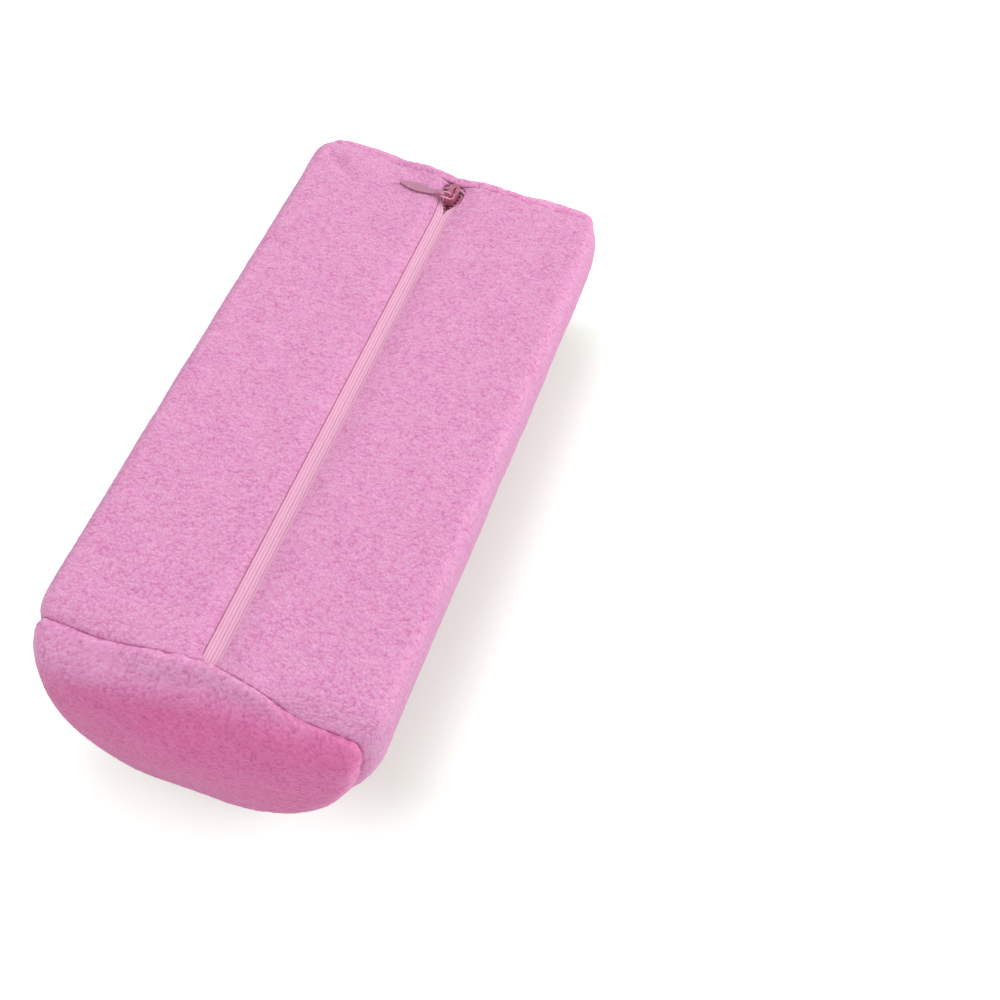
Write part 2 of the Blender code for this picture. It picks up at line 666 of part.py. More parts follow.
def clear_scene():
    for obj in list(bpy.data.objects):
        bpy.data.objects.remove(obj, do_unlink=True)


def build():
    clear_scene()
    foam_core()
    cover_wrap()
    end_panel("near_end_panel", -1)
    end_panel("far_end_panel", 1)
    for name, side in (("left", -1), ("right", 1)):
        zip_tape(f"zip_tape_{name}", side)
        zip_coil(f"zip_coil_{name}", side)
        inner = PARTED - TOOTH_OVERLAP - GAP
        outer = PARTED + FLANGE_IN
        edges = sorted((side * inner, side * outer))
        stop(f"top_stop_{name}", *edges, SEAM_Y_FACE - STOP_LENGTH, closed=1)
    chain = FLANGE_IN + GAP / 2
    stop("bottom_stop", -chain, chain, ZIP_FOOT_Y, closed=-1)
    slider = slider_body()
    loop = pull_loop(slider)
    pull_tab(loop)


build()
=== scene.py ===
"""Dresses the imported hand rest: a towelling cover over foam, closed by a zip with a small leaf-shaped pull.

All sizes are in metres, in the row frame: X runs across, Y along the zip towards the slider, Z up. The soft
pieces are surfaces worked out from the cushion's own section, and each finish is made of shader nodes.
"""

import logging
import math
from dataclasses import dataclass, field
from enum import Enum

import bmesh
import bpy
import numpy as np
from mathutils import Matrix, Vector


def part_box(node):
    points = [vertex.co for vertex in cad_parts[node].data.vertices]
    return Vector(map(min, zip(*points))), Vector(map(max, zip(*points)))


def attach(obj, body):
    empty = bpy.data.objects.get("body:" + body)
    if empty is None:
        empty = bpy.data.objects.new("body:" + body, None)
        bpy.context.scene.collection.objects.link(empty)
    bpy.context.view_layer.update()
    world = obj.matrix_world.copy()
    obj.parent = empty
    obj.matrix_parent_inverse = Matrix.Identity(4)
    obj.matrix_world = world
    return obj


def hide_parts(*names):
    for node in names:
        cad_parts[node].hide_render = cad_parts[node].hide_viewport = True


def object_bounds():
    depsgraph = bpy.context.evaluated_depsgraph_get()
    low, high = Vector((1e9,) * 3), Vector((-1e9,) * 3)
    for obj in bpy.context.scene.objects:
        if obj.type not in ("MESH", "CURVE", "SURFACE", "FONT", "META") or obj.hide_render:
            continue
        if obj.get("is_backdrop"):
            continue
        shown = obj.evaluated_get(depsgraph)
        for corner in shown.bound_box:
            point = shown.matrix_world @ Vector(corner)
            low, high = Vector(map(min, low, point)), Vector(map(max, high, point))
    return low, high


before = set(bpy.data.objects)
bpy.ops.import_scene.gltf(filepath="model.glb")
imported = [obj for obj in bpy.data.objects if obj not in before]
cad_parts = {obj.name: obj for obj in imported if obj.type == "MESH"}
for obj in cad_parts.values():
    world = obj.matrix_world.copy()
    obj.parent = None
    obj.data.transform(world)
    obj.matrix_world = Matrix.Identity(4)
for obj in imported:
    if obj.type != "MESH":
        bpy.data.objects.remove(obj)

log = logging.getLogger("hand_rest")

MM = 0.001


# Plain mathematics


def smoothstep(value: np.ndarray, start: float, end: float) -> np.ndarray:
    """Rises from 0 at start to 1 at end, level at both.

    Args:
        value: Where to evaluate.
        start: The value that gives 0.
        end: The value that gives 1.

    Returns:
        The share risen, which is 3s^2 - 2s^3 of the share s of the way.
    """
    share = np.clip((value - start) / (end - start), 0, 1)
    return share * share * (3 - 2 * share)


def hill(value: np.ndarray, middle: float, width: float) -> np.ndarray:
    """A bell curve of height 1 round a middle, exp(-((value - middle) / width)^2)."""
    return np.exp(-(((value - middle) / width) ** 2))


def graded(span: float, first: float, largest: float, growth: float = 1.3) -> np.ndarray:
    """Distances from 0 to a span, close together at its start.

    Args:
        span: The last distance.
        first: The first step.
        largest: The step that the others grow to.
        growth: How much longer each step is than the one before.

    Returns:
        The running sum of the steps, scaled to end at the span.
    """
    steps = [first]
    while sum(steps) < span:
        steps.append(min(steps[-1] * growth, largest))
    along = np.concatenate([[0.0], np.cumsum(steps)])
    return along * span / along[-1]


def srgb(red: float, green: float, blue: float) -> tuple[float, float, float, float]:
    """A colour in the linear values that shaders take.

    Args:
        red: As on a screen, 0 to 255.
        green: The same.
        blue: The same.

    Returns:
        The three linear values and an opacity of 1.
    """
    linear = [
        value / 255 / 12.92 if value <= 10 else ((value / 255 + 0.055) / 1.055) ** 2.4
        for value in (red, green, blue)
    ]
    return (*linear, 1.0)


@dataclass(frozen=True)
class Unevenness:
    """Smooth random relief: seeded random heights on a square lattice, blended between neighbours."""

    seed: int
    pitch: float
    count: int = 97

    def at(self, across: np.ndarray, along: np.ndarray | float = 0.0) -> np.ndarray:
        """The relief, from -1 to 1.

        Args:
            across: First coordinate.
            along: Second coordinate.

        Returns:
            Each lattice cell's four corner heights, blended by smoothstep in both directions.
        """
        heights = np.random.default_rng(self.seed).uniform(-1, 1, (self.count, self.count))
        a, b = np.broadcast_arrays(np.asarray(across) / self.pitch, np.asarray(along) / self.pitch)
        i, j = np.floor(a).astype(int), np.floor(b).astype(int)
        u, v = smoothstep(a - i, 0, 1), smoothstep(b - j, 0, 1)
        i, j, after_i, after_j = (k % self.count for k in (i, j, i + 1, j + 1))
        low = heights[i, j] * (1 - u) + heights[after_i, j] * u
        high = heights[i, after_j] * (1 - u) + heights[after_i, after_j] * u
        return low * (1 - v) + high * v


# Meshes


@dataclass
class Surface:
    """A mesh in the making: points, their places on the flat cloth, and faces of any size."""

    points: list[np.ndarray] = field(default_factory=list)
    cloth: list[np.ndarray] = field(default_factory=list)
    faces: list[np.ndarray] = field(default_factory=list)
    count: int = 0

    def add_points(self, points: np.ndarray, cloth: np.ndarray | None = None) -> np.ndarray:
        """Adds an array of points.

        Args:
            points: Any shape that ends in 3.
            cloth: The same shape ending in 2, the place of each point on the flat cloth, in metres.

        Returns:
            The points' numbers, in the array's shape.
        """
        shape = points.shape[:-1]
        numbers = self.count + np.arange(math.prod(shape)).reshape(shape)
        self.points.append(points.reshape(-1, 3))
        flat = points[..., :2] if cloth is None else cloth
        self.cloth.append(np.broadcast_to(flat, (*shape, 2)).reshape(-1, 2))
        self.count += math.prod(shape)
        return numbers

    def add_grid(self, numbers: np.ndarray, closed: bool = False) -> None:
        """Fills a grid of numbered points with quads.

        Args:
            numbers: The points' numbers, rows by columns.
            closed: Whether the last column is joined to the first.
        """
        if closed:
            numbers = np.column_stack([numbers, numbers[:, 0]])
        quads = np.stack([numbers[:-1, :-1], numbers[:-1, 1:], numbers[1:, 1:], numbers[1:, :-1]], -1)
        self.faces.append(quads.reshape(-1, 4))

    def add_faces(self, faces: np.ndarray) -> None:
        """Adds faces that all have as many corners as the array has columns."""
        self.faces.append(faces)

    def add_fan(self, edge: np.ndarray, centre: int) -> None:
        """Closes a ring of numbered points to one centre point with triangles."""
        self.faces.append(np.column_stack([edge, np.roll(edge, -1), np.full(len(edge), centre)]))

    def piece(self, name: str, body: str, smooth_below: float = 180.0) -> bpy.types.Object:
        """Makes the object, with its normals outwards, and lets it ride on a body.

        Args:
            name: The piece's name.
            body: The CAD body that it moves with.
            smooth_below: Edges that turn more than this many degrees stay sharp.

        Returns:
            The object, whose map named cloth holds the places on the flat cloth.
        """
        mesh = bpy.data.meshes.new(name)
        corners = np.concatenate([face.ravel() for face in self.faces])
        sizes = np.concatenate([np.full(len(face), face.shape[1]) for face in self.faces])
        mesh.vertices.add(self.count)
        mesh.vertices.foreach_set("co", np.concatenate(self.points).astype(np.float32).ravel())
        mesh.loops.add(len(corners))
        mesh.loops.foreach_set("vertex_index", corners.astype(np.int32))
        mesh.polygons.add(len(sizes))
        mesh.polygons.foreach_set("loop_start", np.concatenate([[0], np.cumsum(sizes)[:-1]]).astype(np.int32))
        mesh.update(calc_edges=True)
        layer = mesh.uv_layers.new(name="cloth")
        layer.uv.foreach_set("vector", np.concatenate(self.cloth)[corners].astype(np.float32).ravel())
        turned = bmesh.new()
        turned.from_mesh(mesh)
        bmesh.ops.recalc_face_normals(turned, faces=turned.faces)
        turned.to_mesh(mesh)
        turned.free()
        mesh.shade_smooth()
        if smooth_below < 180:
            mesh.set_sharp_from_angle(angle=math.radians(smooth_below))
        obj = bpy.data.objects.new(name, mesh)
        bpy.context.scene.collection.objects.link(obj)
        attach(obj, body)
        log.info("%s: %d faces", name, len(mesh.polygons))
        return obj


def grid_normals(points: np.ndarray, outward: np.ndarray) -> np.ndarray:
    """Unit normals of a grid of points.

    Args:
        points: The grid, rows by columns by 3.
        outward: A vector for each point, or one for all, that the normal must not point against.

    Returns:
        The cross product of the steps along both directions of the grid, scaled to length 1.
    """
    normal = np.cross(np.gradient(points, axis=0), np.gradient(points, axis=1))
    normal /= np.maximum(np.linalg.norm(normal, axis=-1, keepdims=True), 1e-12)
    return normal * np.where((normal * outward).sum(-1, keepdims=True) < 0, -1, 1)


# Shader nodes


class Value:
    """A shader socket that takes part in Python arithmetic. Each operator adds one Math node."""

    def __init__(self, graph: "Graph", socket: bpy.types.NodeSocket) -> None:
        """Wraps a socket of a graph."""
        self.graph = graph
        self.socket = socket

    def math(self, operation: str, *others: "Value | float") -> "Value":
        """One Math node of this value and the others."""
        inputs = dict(enumerate((self, *others)))
        return self.graph.value("ShaderNodeMath", {"operation": operation}, inputs)

    def __add__(self, other: "Value | float") -> "Value":
        """Sum."""
        return self.math("ADD", other)

    __radd__ = __add__

    def __mul__(self, other: "Value | float") -> "Value":
        """Product."""
        return self.math("MULTIPLY", other)

    __rmul__ = __mul__

    def __sub__(self, other: "Value | float") -> "Value":
        """Difference."""
        return self.math("SUBTRACT", other)

    def __rsub__(self, other: float) -> "Value":
        """Difference the other way round."""
        return self.graph.value("ShaderNodeMath", {"operation": "SUBTRACT"}, {0: other, 1: self})

    def __truediv__(self, other: "Value | float") -> "Value":
        """Quotient."""
        return self.math("DIVIDE", other)

    def __pow__(self, other: "Value | float") -> "Value":
        """Power."""
        return self.math("POWER", other)

    def clamped(self) -> "Value":
        """Held between 0 and 1."""
        return self.math("MAXIMUM", 0.0).math("MINIMUM", 1.0)

    def steps(self, low: float, high: float) -> "Value":
        """Rises smoothly from 0 at low to 1 at high."""
        settings = {"interpolation_type": "SMOOTHSTEP"}
        return self.graph.value("ShaderNodeMapRange", settings, {0: self, 1: low, 2: high})


class Graph:
    """The nodes of one material, whose Principled shader is there from the start."""

    def __init__(self, name: str) -> None:
        """Makes the material.

        Args:
            name: Its name.
        """
        self.material = bpy.data.materials.new(name)
        self.material.use_nodes = True
        self.nodes = self.material.node_tree.nodes
        self.links = self.material.node_tree.links
        self.shader = self.nodes["Principled BSDF"]

    def node(self, kind: str, settings: dict | None = None, inputs: dict | None = None) -> bpy.types.Node:
        """Adds any node.

        Args:
            kind: The node's type.
            settings: Its properties, which are set first.
            inputs: A value or a link for each socket, by name or number.

        Returns:
            The node.
        """
        node = self.nodes.new(kind)
        for name, value in (settings or {}).items():
            setattr(node, name, value)
        for name, value in (inputs or {}).items():
            self.feed(node.inputs[name], value)
        return node

    def value(
        self, kind: str, settings: dict | None = None, inputs: dict | None = None, output: int | str = 0
    ) -> Value:
        """Adds any node and wraps one of its outputs."""
        return Value(self, self.node(kind, settings, inputs).outputs[output])

    def feed(self, socket: bpy.types.NodeSocket, value: "Value | float | tuple") -> None:
        """Links or sets one input socket.

        Args:
            socket: The input.
            value: What it gets: a link from a value, or a number or colour of its own.
        """
        if isinstance(value, Value):
            self.links.new(value.socket, socket)
        else:
            socket.default_value = value

    def shade(self, inputs: dict) -> bpy.types.Material:
        """Feeds the Principled shader.

        Args:
            inputs: A value or a link for each of its sockets, by name.

        Returns:
            The material.
        """
        for name, value in inputs.items():
            self.feed(self.shader.inputs[name], value)
        return self.material

    def cloth(self) -> Value:
        """Places on the flat cloth, in millimetres."""
        flat = self.value("ShaderNodeUVMap", {"uv_map": "cloth"})
        return self.vector("SCALE", flat, {"Scale": 1 / MM})

    def place(self) -> Value:
        """Places in the row frame, in millimetres."""
        here = self.value("ShaderNodeTexCoord", None, None, "Object")
        return self.vector("SCALE", here, {"Scale": 1 / MM})

    def vector(self, operation: str, first: Value, others: dict) -> Value:
        """One Vector Math node of a vector and further inputs."""
        return self.value("ShaderNodeVectorMath", {"operation": operation}, {0: first, **others})

    def noise(self, at: Value, pitch: float, detail: float = 2.0, output: int | str = 0) -> Value:
        """Smooth random values round 0.5, or colours, whose patches are about a pitch wide."""
        inputs = {"Vector": at, "Scale": 1 / pitch, "Detail": detail}
        return self.value("ShaderNodeTexNoise", None, inputs, output)

    def parts(self, vector: Value) -> tuple[Value, Value]:
        """The first two components of a vector."""
        split = self.node("ShaderNodeSeparateXYZ", None, {0: vector})
        return Value(self, split.outputs["X"]), Value(self, split.outputs["Y"])

    def mix(self, share: "Value | float", first: "Value | tuple", second: "Value | tuple") -> Value:
        """A colour between two colours, through the node's colour sockets 6 and 7 and its output 2."""
        inputs = {"Factor": share, 6: first, 7: second}
        return self.value("ShaderNodeMix", {"data_type": "RGBA", "clamp_factor": True}, inputs, 2)

    def bump(self, height: Value, depth: float) -> Value:
        """The normal of a relief, given its height from 0 to 1 and its depth."""
        return self.value("ShaderNodeBump", None, {"Height": height, "Distance": depth})


# Finishes


@dataclass(frozen=True)
class Pile:
    """The colours of towelling: its loops' tips, lighter with painted highlight, their bodies, and the gaps
    between them, darker with painted shade.
    """

    tip: tuple = srgb(243, 178, 218)
    body: tuple = srgb(233, 156, 203)
    gap: tuple = srgb(210, 116, 171)


@dataclass(frozen=True)
class Towelling:
    """Cotton towelling: rows of small uncut loops that lean a little, lighter at their tips as painted
    highlight and darker between them as painted shade.
    """

    pile: Pile = Pile()
    # The low pile is painted shade: deeper colours that take over down the cloth, and towards +X by the
    # slant.
    painted_shade_pile: Pile | None = None
    painted_shade_from: float = 40.0
    painted_shade_to: float = 22.0
    painted_shade_slant: float = 0.0
    row_pitch: float = 1.3
    loop_pitch: float = 1.0
    loop_reach: float = 1.45
    lean: float = 0.55
    sway_pitch: float = 11.0
    sway: float = 2.4
    curl: float = 0.9
    strand_pitch: float = 0.28
    tuft_pitch: float = 4.5
    patch_pitch: float = 17.0
    strand_height: float = 0.22
    height_spread: float = 0.28
    mound_painted_light: float = 0.34
    loop_light: float = 0.58
    tuft_light: float = 0.4
    patch_light: float = 0.3
    strand_light: float = 0.2
    body_from: float = 0.0
    body_to: float = 0.55
    tip_from: float = 0.45
    tip_to: float = 1.15
    relief: float = 0.34

    def material(self, name: str) -> bpy.types.Material:
        """Makes the material.

        The cloth's flat coordinates are shifted by slow noise, so that the rows wander, and by fine noise,
        so that the loops curl, and divided by the pitches. Each Voronoi cell is a loop: its height is 1
        less the square of its middle's distance times the loop reach, and it leans along the row. The
        light is a sum of that height, the loop's own random value and noise of three pitches: where it is
        low the gap colour shows, then the body's, then the tip's. The height's share is painted light:
        painted shade in the gaps and painted highlight on the tips; the rest is random tone. The low
        pile's colours, if any, take over down the cloth as painted shade, and towards +X by the slant.

        Args:
            name: The material's name.

        Returns:
            The material.
        """
        g = Graph(name)
        flat = g.cloth()
        sway = g.noise(flat, self.sway_pitch, 3.0, "Color")
        swayed = g.vector("MULTIPLY_ADD", sway, {1: (self.sway, self.sway, 0.0), 2: flat})
        curl = g.noise(flat, self.curl, 2.0, "Color")
        curled = g.vector("MULTIPLY_ADD", curl, {1: (self.curl, self.curl, 0.0), 2: swayed})
        rows = g.vector("MULTIPLY", curled, {1: (1 / self.row_pitch, 1 / self.loop_pitch, 1.0)})
        settings = {"voronoi_dimensions": "2D", "feature": "SMOOTH_F1"}
        shape = {"Vector": rows, "Scale": 1.0, "Randomness": 0.8, "Smoothness": 0.3}
        loops = g.node("ShaderNodeTexVoronoi", settings, shape)
        distance = Value(g, loops.outputs["Distance"])
        offset = g.vector("SUBTRACT", rows, {1: Value(g, loops.outputs["Position"])})
        lean = g.parts(offset)[1] * self.lean
        each = g.value("ShaderNodeSeparateColor", None, {0: Value(g, loops.outputs["Color"])}, 0)
        mound = (1.0 - (distance * self.loop_reach) ** 2.0).clamped()
        strands = g.noise(flat, self.strand_pitch, 1.0)
        height = mound * (1.0 - self.height_spread + each * self.height_spread) * (1.0 + lean)
        height = height + strands * self.strand_height
        patches = g.noise(flat, self.patch_pitch, 3.0) - 0.5
        tufts = g.noise(flat, self.tuft_pitch, 2.0) - 0.5
        # The mound's share is painted light: painted highlight on the loops' tips, painted shade in the gaps;
        # the loop's random value and the noise are random tone.
        light = mound * self.mound_painted_light + each * self.loop_light + tufts * self.tuft_light
        light = light + patches * self.patch_light + strands * self.strand_light
        tip, body, gap = self.pile.tip, self.pile.body, self.pile.gap
        # Painted shade: the deeper pile's colours take over down the cloth, and towards +X with the slant.
        if self.painted_shade_pile:
            across, up = g.parts(flat)
            low = (up - across * self.painted_shade_slant).steps(self.painted_shade_from, self.painted_shade_to)
            tip, body = g.mix(low, tip, self.painted_shade_pile.tip), g.mix(low, body, self.painted_shade_pile.body)
            gap = g.mix(low, gap, self.painted_shade_pile.gap)
        deep = g.mix(light.steps(self.body_from, self.body_to), gap, body)
        colour = g.mix(light.steps(self.tip_from, self.tip_to), deep, tip)
        return g.shade(
            {
                "Base Color": colour,
                "Roughness": 0.95,
                "Specular IOR Level": 0.15,
                "Sheen Weight": 0.8,
                "Sheen Roughness": 0.4,
                "Sheen Tint": srgb(255, 214, 240),
                "Normal": g.bump(height, self.relief * MM),
            }
        )


@dataclass(frozen=True)
class ZipTape:
    """Woven polyester tape: smooth light ribs of slanting stitches, with darker lines between them as painted
    shade.
    """

    rib: tuple = srgb(244, 188, 216)
    # The lines' colour is painted shade between the ribs and in the stitches' troughs, and also the darker
    # wear.
    line: tuple = srgb(233, 164, 196)
    rib_pitch: float = 1.2
    stitch_pitch: float = 0.55
    stitch_slant: float = 3.5
    stitch_light: float = 0.22
    wear_pitch: float = 9.0
    wear_light: float = 0.25
    relief: float = 0.12

    def material(self, name: str) -> bpy.types.Material:
        """Makes the material.

        The cloth coordinate across the tape, in rib pitches, gives the ribs as |sin|, and stitches are
        sine waves along the tape that slant one way on a rib and the other way on the next.

        Args:
            name: The material's name.

        Returns:
            The material.
        """
        g = Graph(name)
        flat = g.cloth()
        across, along = g.parts(flat)
        rib = (across * (math.pi / self.rib_pitch)).math("SINE").math("ABSOLUTE")
        slant = (across / self.rib_pitch).math("PINGPONG", 1.0)
        turns = along * (2 * math.pi / self.stitch_pitch) + slant * self.stitch_slant
        stitch = turns.math("SINE") * 0.5 + 0.5
        wear = g.noise(flat, self.wear_pitch, 3.0)
        # Painted shade: the colour darkens where the relief sinks, between the ribs and in the stitches'
        # troughs; the wear noise is the tape's own tone.
        light = rib ** 0.6 + (stitch - 0.5) * self.stitch_light + (wear - 0.5) * self.wear_light
        colour = g.mix(light.clamped(), self.line, self.rib)
        return g.shade(
            {
                "Base Color": colour,
                "Roughness": 0.72,
                "Specular IOR Level": 0.3,
                "Sheen Weight": 0.2,
                "Normal": g.bump(rib ** 0.5 * 0.6 + stitch * 0.4, self.relief * MM),
            }
        )


@dataclass(frozen=True)
class Nylon:
    """Dyed nylon monofilament, slightly glossy."""

    colour: tuple = srgb(228, 150, 184)
    linty: tuple = srgb(214, 128, 168)
    lint_pitch: float = 0.9
    relief: float = 0.05

    def material(self, name: str) -> bpy.types.Material:
        """Makes the material: one colour, dulled in patches by lint.

        Args:
            name: The material's name.

        Returns:
            The material.
        """
        g = Graph(name)
        lint = g.noise(g.place(), self.lint_pitch, 2.0)
        colour = g.mix(lint, self.colour, self.linty)
        relief = g.bump(lint, self.relief * MM)
        return g.shade({"Base Color": colour, "Roughness": 0.35 + lint * 0.25, "Normal": relief})


@dataclass(frozen=True)
class PaintedZinc:
    """Paint over a zinc casting, rubbed a little lighter where it is handled."""

    paint: tuple = srgb(196, 112, 142)
    worn: tuple = srgb(222, 160, 184)
    roughness: float = 0.34
    metallic: float = 0.45
    wear_pitch: float = 2.2
    grain_pitch: float = 0.35
    grain: float = 0.02

    def material(self, name: str) -> bpy.types.Material:
        """Makes the material: patches of wear in colour and roughness, and the casting's orange peel.

        Args:
            name: The material's name.

        Returns:
            The material.
        """
        g = Graph(name)
        here = g.place()
        wear = g.noise(here, self.wear_pitch, 4.0)
        peel = g.noise(here, self.grain_pitch, 2.0)
        rubbed = wear.steps(0.52, 0.72)
        return g.shade(
            {
                "Base Color": g.mix(rubbed * 0.6, self.paint, self.worn),
                "Roughness": self.roughness + wear * 0.12,
                "Metallic": self.metallic,
                "Coat Weight": 0.25,
                "Coat Roughness": 0.2,
                "Normal": g.bump(peel, self.grain * MM),
            }
        )


@dataclass(frozen=True)
class CrimpedMetal:
    """A bare strip of metal that was crimped on, with fine scratches along it."""

    colour: tuple = srgb(214, 192, 200)
    scratched: tuple = srgb(176, 150, 160)
    scratch_pitch: float = 0.12
    relief: float = 0.02

    def material(self, name: str) -> bpy.types.Material:
        """Makes the material: noise drawn out along Y gives the scratches.

        Args:
            name: The material's name.

        Returns:
            The material.
        """
        g = Graph(name)
        drawn = g.vector("MULTIPLY", g.place(), {1: (1.0, 0.15, 1.0)})
        scratch = g.noise(drawn, self.scratch_pitch, 3.0)
        colour = g.mix(scratch, self.colour, self.scratched)
        return g.shade(
            {
                "Base Color": colour,
                "Metallic": 0.9,
                "Roughness": 0.3 + scratch * 0.25,
                "Normal": g.bump(scratch, self.relief * MM),
            }
        )


@dataclass(frozen=True)
class OpenFoam:
    """Cut foam: cream, full of small open cells."""

    skin: tuple = srgb(240, 232, 208)
    # The cells' colour is painted shade in the pores, and also the foam's yellowed tone in patches.
    cell: tuple = srgb(196, 180, 142)
    cell_pitch: float = 0.8
    yellowing_pitch: float = 30.0
    relief: float = 0.4

    def material(self, name: str) -> bpy.types.Material:
        """Makes the material: Voronoi cells of two sizes, deep at their middles and darkened there as painted
        shade.

        Args:
            name: The material's name.

        Returns:
            The material.
        """
        g = Graph(name)
        here = g.place()
        small = g.value("ShaderNodeTexVoronoi", None, {"Vector": here, "Scale": 1 / self.cell_pitch})
        large = g.value("ShaderNodeTexVoronoi", None, {"Vector": here, "Scale": 0.4 / self.cell_pitch})
        wall = (small * 0.7 + large * 0.5).clamped()
        yellowing = g.noise(here, self.yellowing_pitch, 2.0)
        # The cells' middles get the darker colour as painted shade; the yellowing noise is the foam's own
        # tone.
        colour = g.mix((wall + (yellowing - 0.5) * 0.3).clamped(), self.cell, self.skin)
        return g.shade({"Base Color": colour, "Roughness": 0.92, "Normal": g.bump(wall, self.relief * MM)})


def dress(node: str, material: bpy.types.Material) -> bpy.types.Object:
    """Gives a CAD node's object the material in each of its slots.

    Args:
        node: The node's name.
        material: Its finish.

    Returns:
        The node's object.
    """
    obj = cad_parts[node]
    if not obj.material_slots:
        obj.data.materials.append(material)
    for slot in obj.material_slots:
        slot.material = material
    log.info("%s: dressed", node)
    return obj


# The cushion


class End(Enum):
    """The two ends of the cushion, as signs along Y."""

    NEAR = -1
    FAR = 1


@dataclass
class CushionForm:
    """The outside of the cushion, by the way round its section and the distance along it.

    The way round starts at the middle of the zip and runs right, under the dome and back up on the left.
    The distance is 0 in the middle, negative towards the near end, and goes on over the ends to their tips.
    """

    length: float = 0.300
    width: float = 2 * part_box("cover_wrap")[1].x
    height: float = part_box("cover_wrap")[1].z
    shoulder_drop: float = 0.0145
    shoulder_reach: float = 0.0062
    shoulder_power: float = 2.5
    dome_power: float = 1.92
    flat_spot: float = 0.030
    terry: float = 0.0022
    round_in: float = 0.0148
    round_along: float = 0.0200
    bulge: float = 0.0048
    seam_turn: float = math.radians(32)
    pinch: float = 0.00635
    pinch_reach: float = 0.0410
    pinch_power: float = 1.1
    pinch_ease: float = 0.4
    tuck: float = 0.0041
    tuck_face: float = 0.0012
    tuck_length: float = 0.0140
    tuck_length_panel: float = 0.0090
    level_half: float = 0.0135
    level_end: float = 0.0360
    level_past: float = 0.4
    rim_radius: float = 0.0450
    near_skew: float = 0.0036
    face_steps: int = 40
    shoulder_steps: int = 200
    dome_steps: int = 300

    def __post_init__(self) -> None:
        """Tabulates the right half of the section by its own length: face, shoulder, then dome."""
        self.half_width = self.width / 2
        self.middle = self.height / 2
        self.shoulder_level = self.height - self.shoulder_drop
        self.round_start = self.length / 2 - self.bulge - self.round_along
        self.seam = self.round_start + self.round_along * self.seam_turn
        self.seam_y = self.round_start + self.round_along * math.sin(self.seam_turn)
        self.seam_y_face = self.seam_y - self.pinch
        self.rim = self.round_start + self.round_along * math.pi / 2
        self.tip = self.rim + self.rim_radius
        face_half = self.half_width - self.shoulder_reach
        down = np.radians(np.linspace(90, 0, self.shoulder_steps))[1:]
        shoulder_x = face_half + self.shoulder_reach * np.cos(down) ** (2 / self.shoulder_power)
        shoulder_z = self.shoulder_level + self.shoulder_drop * np.sin(down) ** (2 / self.shoulder_power)
        under = np.radians(np.linspace(0, 90, self.dome_steps))[1:]
        spot = self.flat_spot / 2
        dome_x = spot + (self.half_width - spot) * np.abs(np.cos(under)) ** (2 / self.dome_power)
        dome_z = self.shoulder_level * (1 - np.sin(under) ** (2 / self.dome_power))
        face_x = np.linspace(MM, face_half, self.face_steps)
        self.table_x = np.concatenate([[0.0], face_x, shoulder_x, dome_x, [0.0]])
        face_z = np.full(self.face_steps + 1, self.height)
        self.table_z = np.concatenate([face_z, shoulder_z, dome_z, [0.0]])
        steps = np.hypot(np.diff(self.table_x), np.diff(self.table_z))
        self.table_way = np.concatenate([[0.0], np.cumsum(steps)])
        self.half_round = self.table_way[-1]

    def section(self, way: np.ndarray) -> tuple[np.ndarray, np.ndarray]:
        """The section's outline.

        Args:
            way: The way round it.

        Returns:
            The x and the z there, from the table of the right half, which the left half mirrors.
        """
        side = np.where(way <= self.half_round, 1.0, -1.0)
        half_way = np.where(side > 0, way, 2 * self.half_round - way)
        x = np.interp(half_way, self.table_way, self.table_x)
        z = np.interp(half_way, self.table_way, self.table_z)
        return side * x, z

    def seam_at(self, way: np.ndarray, end: End) -> np.ndarray:
        """The distance from the middle to the seam, which was sewn a little askew at the near end."""
        askew = self.near_skew if end is End.NEAR else 0.0
        return self.seam + askew * self.section(way)[0] / self.half_width

    def skin(self, way: np.ndarray, along: np.ndarray) -> np.ndarray:
        """Points on the outside of the cover.

        Args:
            way: The way round the section, broadcast with the distances.
            along: The distance from the middle, negative towards the near end.

        Returns:
            The section, straight up to the start of the ends, then turned over by a quarter of an ellipse,
            then shrunk to the tip on a parabola. The cloth dips by a parabola on both sides of the seam, and
            the seam is drawn in along Y at the zip, where the face stays level up to it.
        """
        way, along = np.broadcast_arrays(way, along)
        x, z = self.section(way)
        distance = np.abs(along)
        turn = np.clip((distance - self.round_start) / self.round_along, 0, math.pi / 2)
        share = 1 - np.clip((distance - self.rim) / self.rim_radius, 0, 1)
        reach = np.minimum(distance, self.round_start) + self.round_along * np.sin(turn)
        high = np.clip((z - self.shoulder_level) / self.shoulder_drop, 0, 1)
        level = high * (1 - smoothstep(np.abs(x), self.level_half, self.level_end))
        past = smoothstep(turn, self.seam_turn, math.pi / 2)
        angle = turn * (1 - level * (1 - smoothstep(turn, self.seam_turn, self.seam_turn + self.level_past)))
        seam = np.where(along < 0, self.seam_at(way, End.NEAR), self.seam_at(way, End.FAR))
        room = np.where(distance > seam, self.tuck_length_panel, self.tuck_length)
        dip = np.clip(1 - np.abs(distance - seam) / room, 0, 1) ** 2
        tuck = dip * (self.tuck + (self.tuck_face - self.tuck) * high) * (1 - level)
        shrink = self.round_in * (1 - np.cos(angle)) + tuck * np.cos(angle)
        size = share * (1 - self.round_in * (1 - np.cos(np.maximum(turn, self.seam_turn))) / self.half_width)
        seam_size = 1 - self.round_in * (1 - math.cos(self.seam_turn)) / self.half_width
        bulge = self.bulge * (1 - (size / seam_size) ** 2)
        pinch = high * np.clip(1 - np.abs(x) / self.pinch_reach, 0, 1) ** self.pinch_power
        pinch *= self.pinch * (1 - self.pinch_ease * past) * share**2 * np.minimum(1, reach / self.seam_y)
        y = np.sign(along) * (reach + bulge - tuck * np.sin(angle) - pinch)
        x = x * (1 - shrink / self.half_width) * share
        z = self.middle + (z - self.middle) * (1 - shrink / self.middle) * share
        return np.stack([x, y, z], -1)


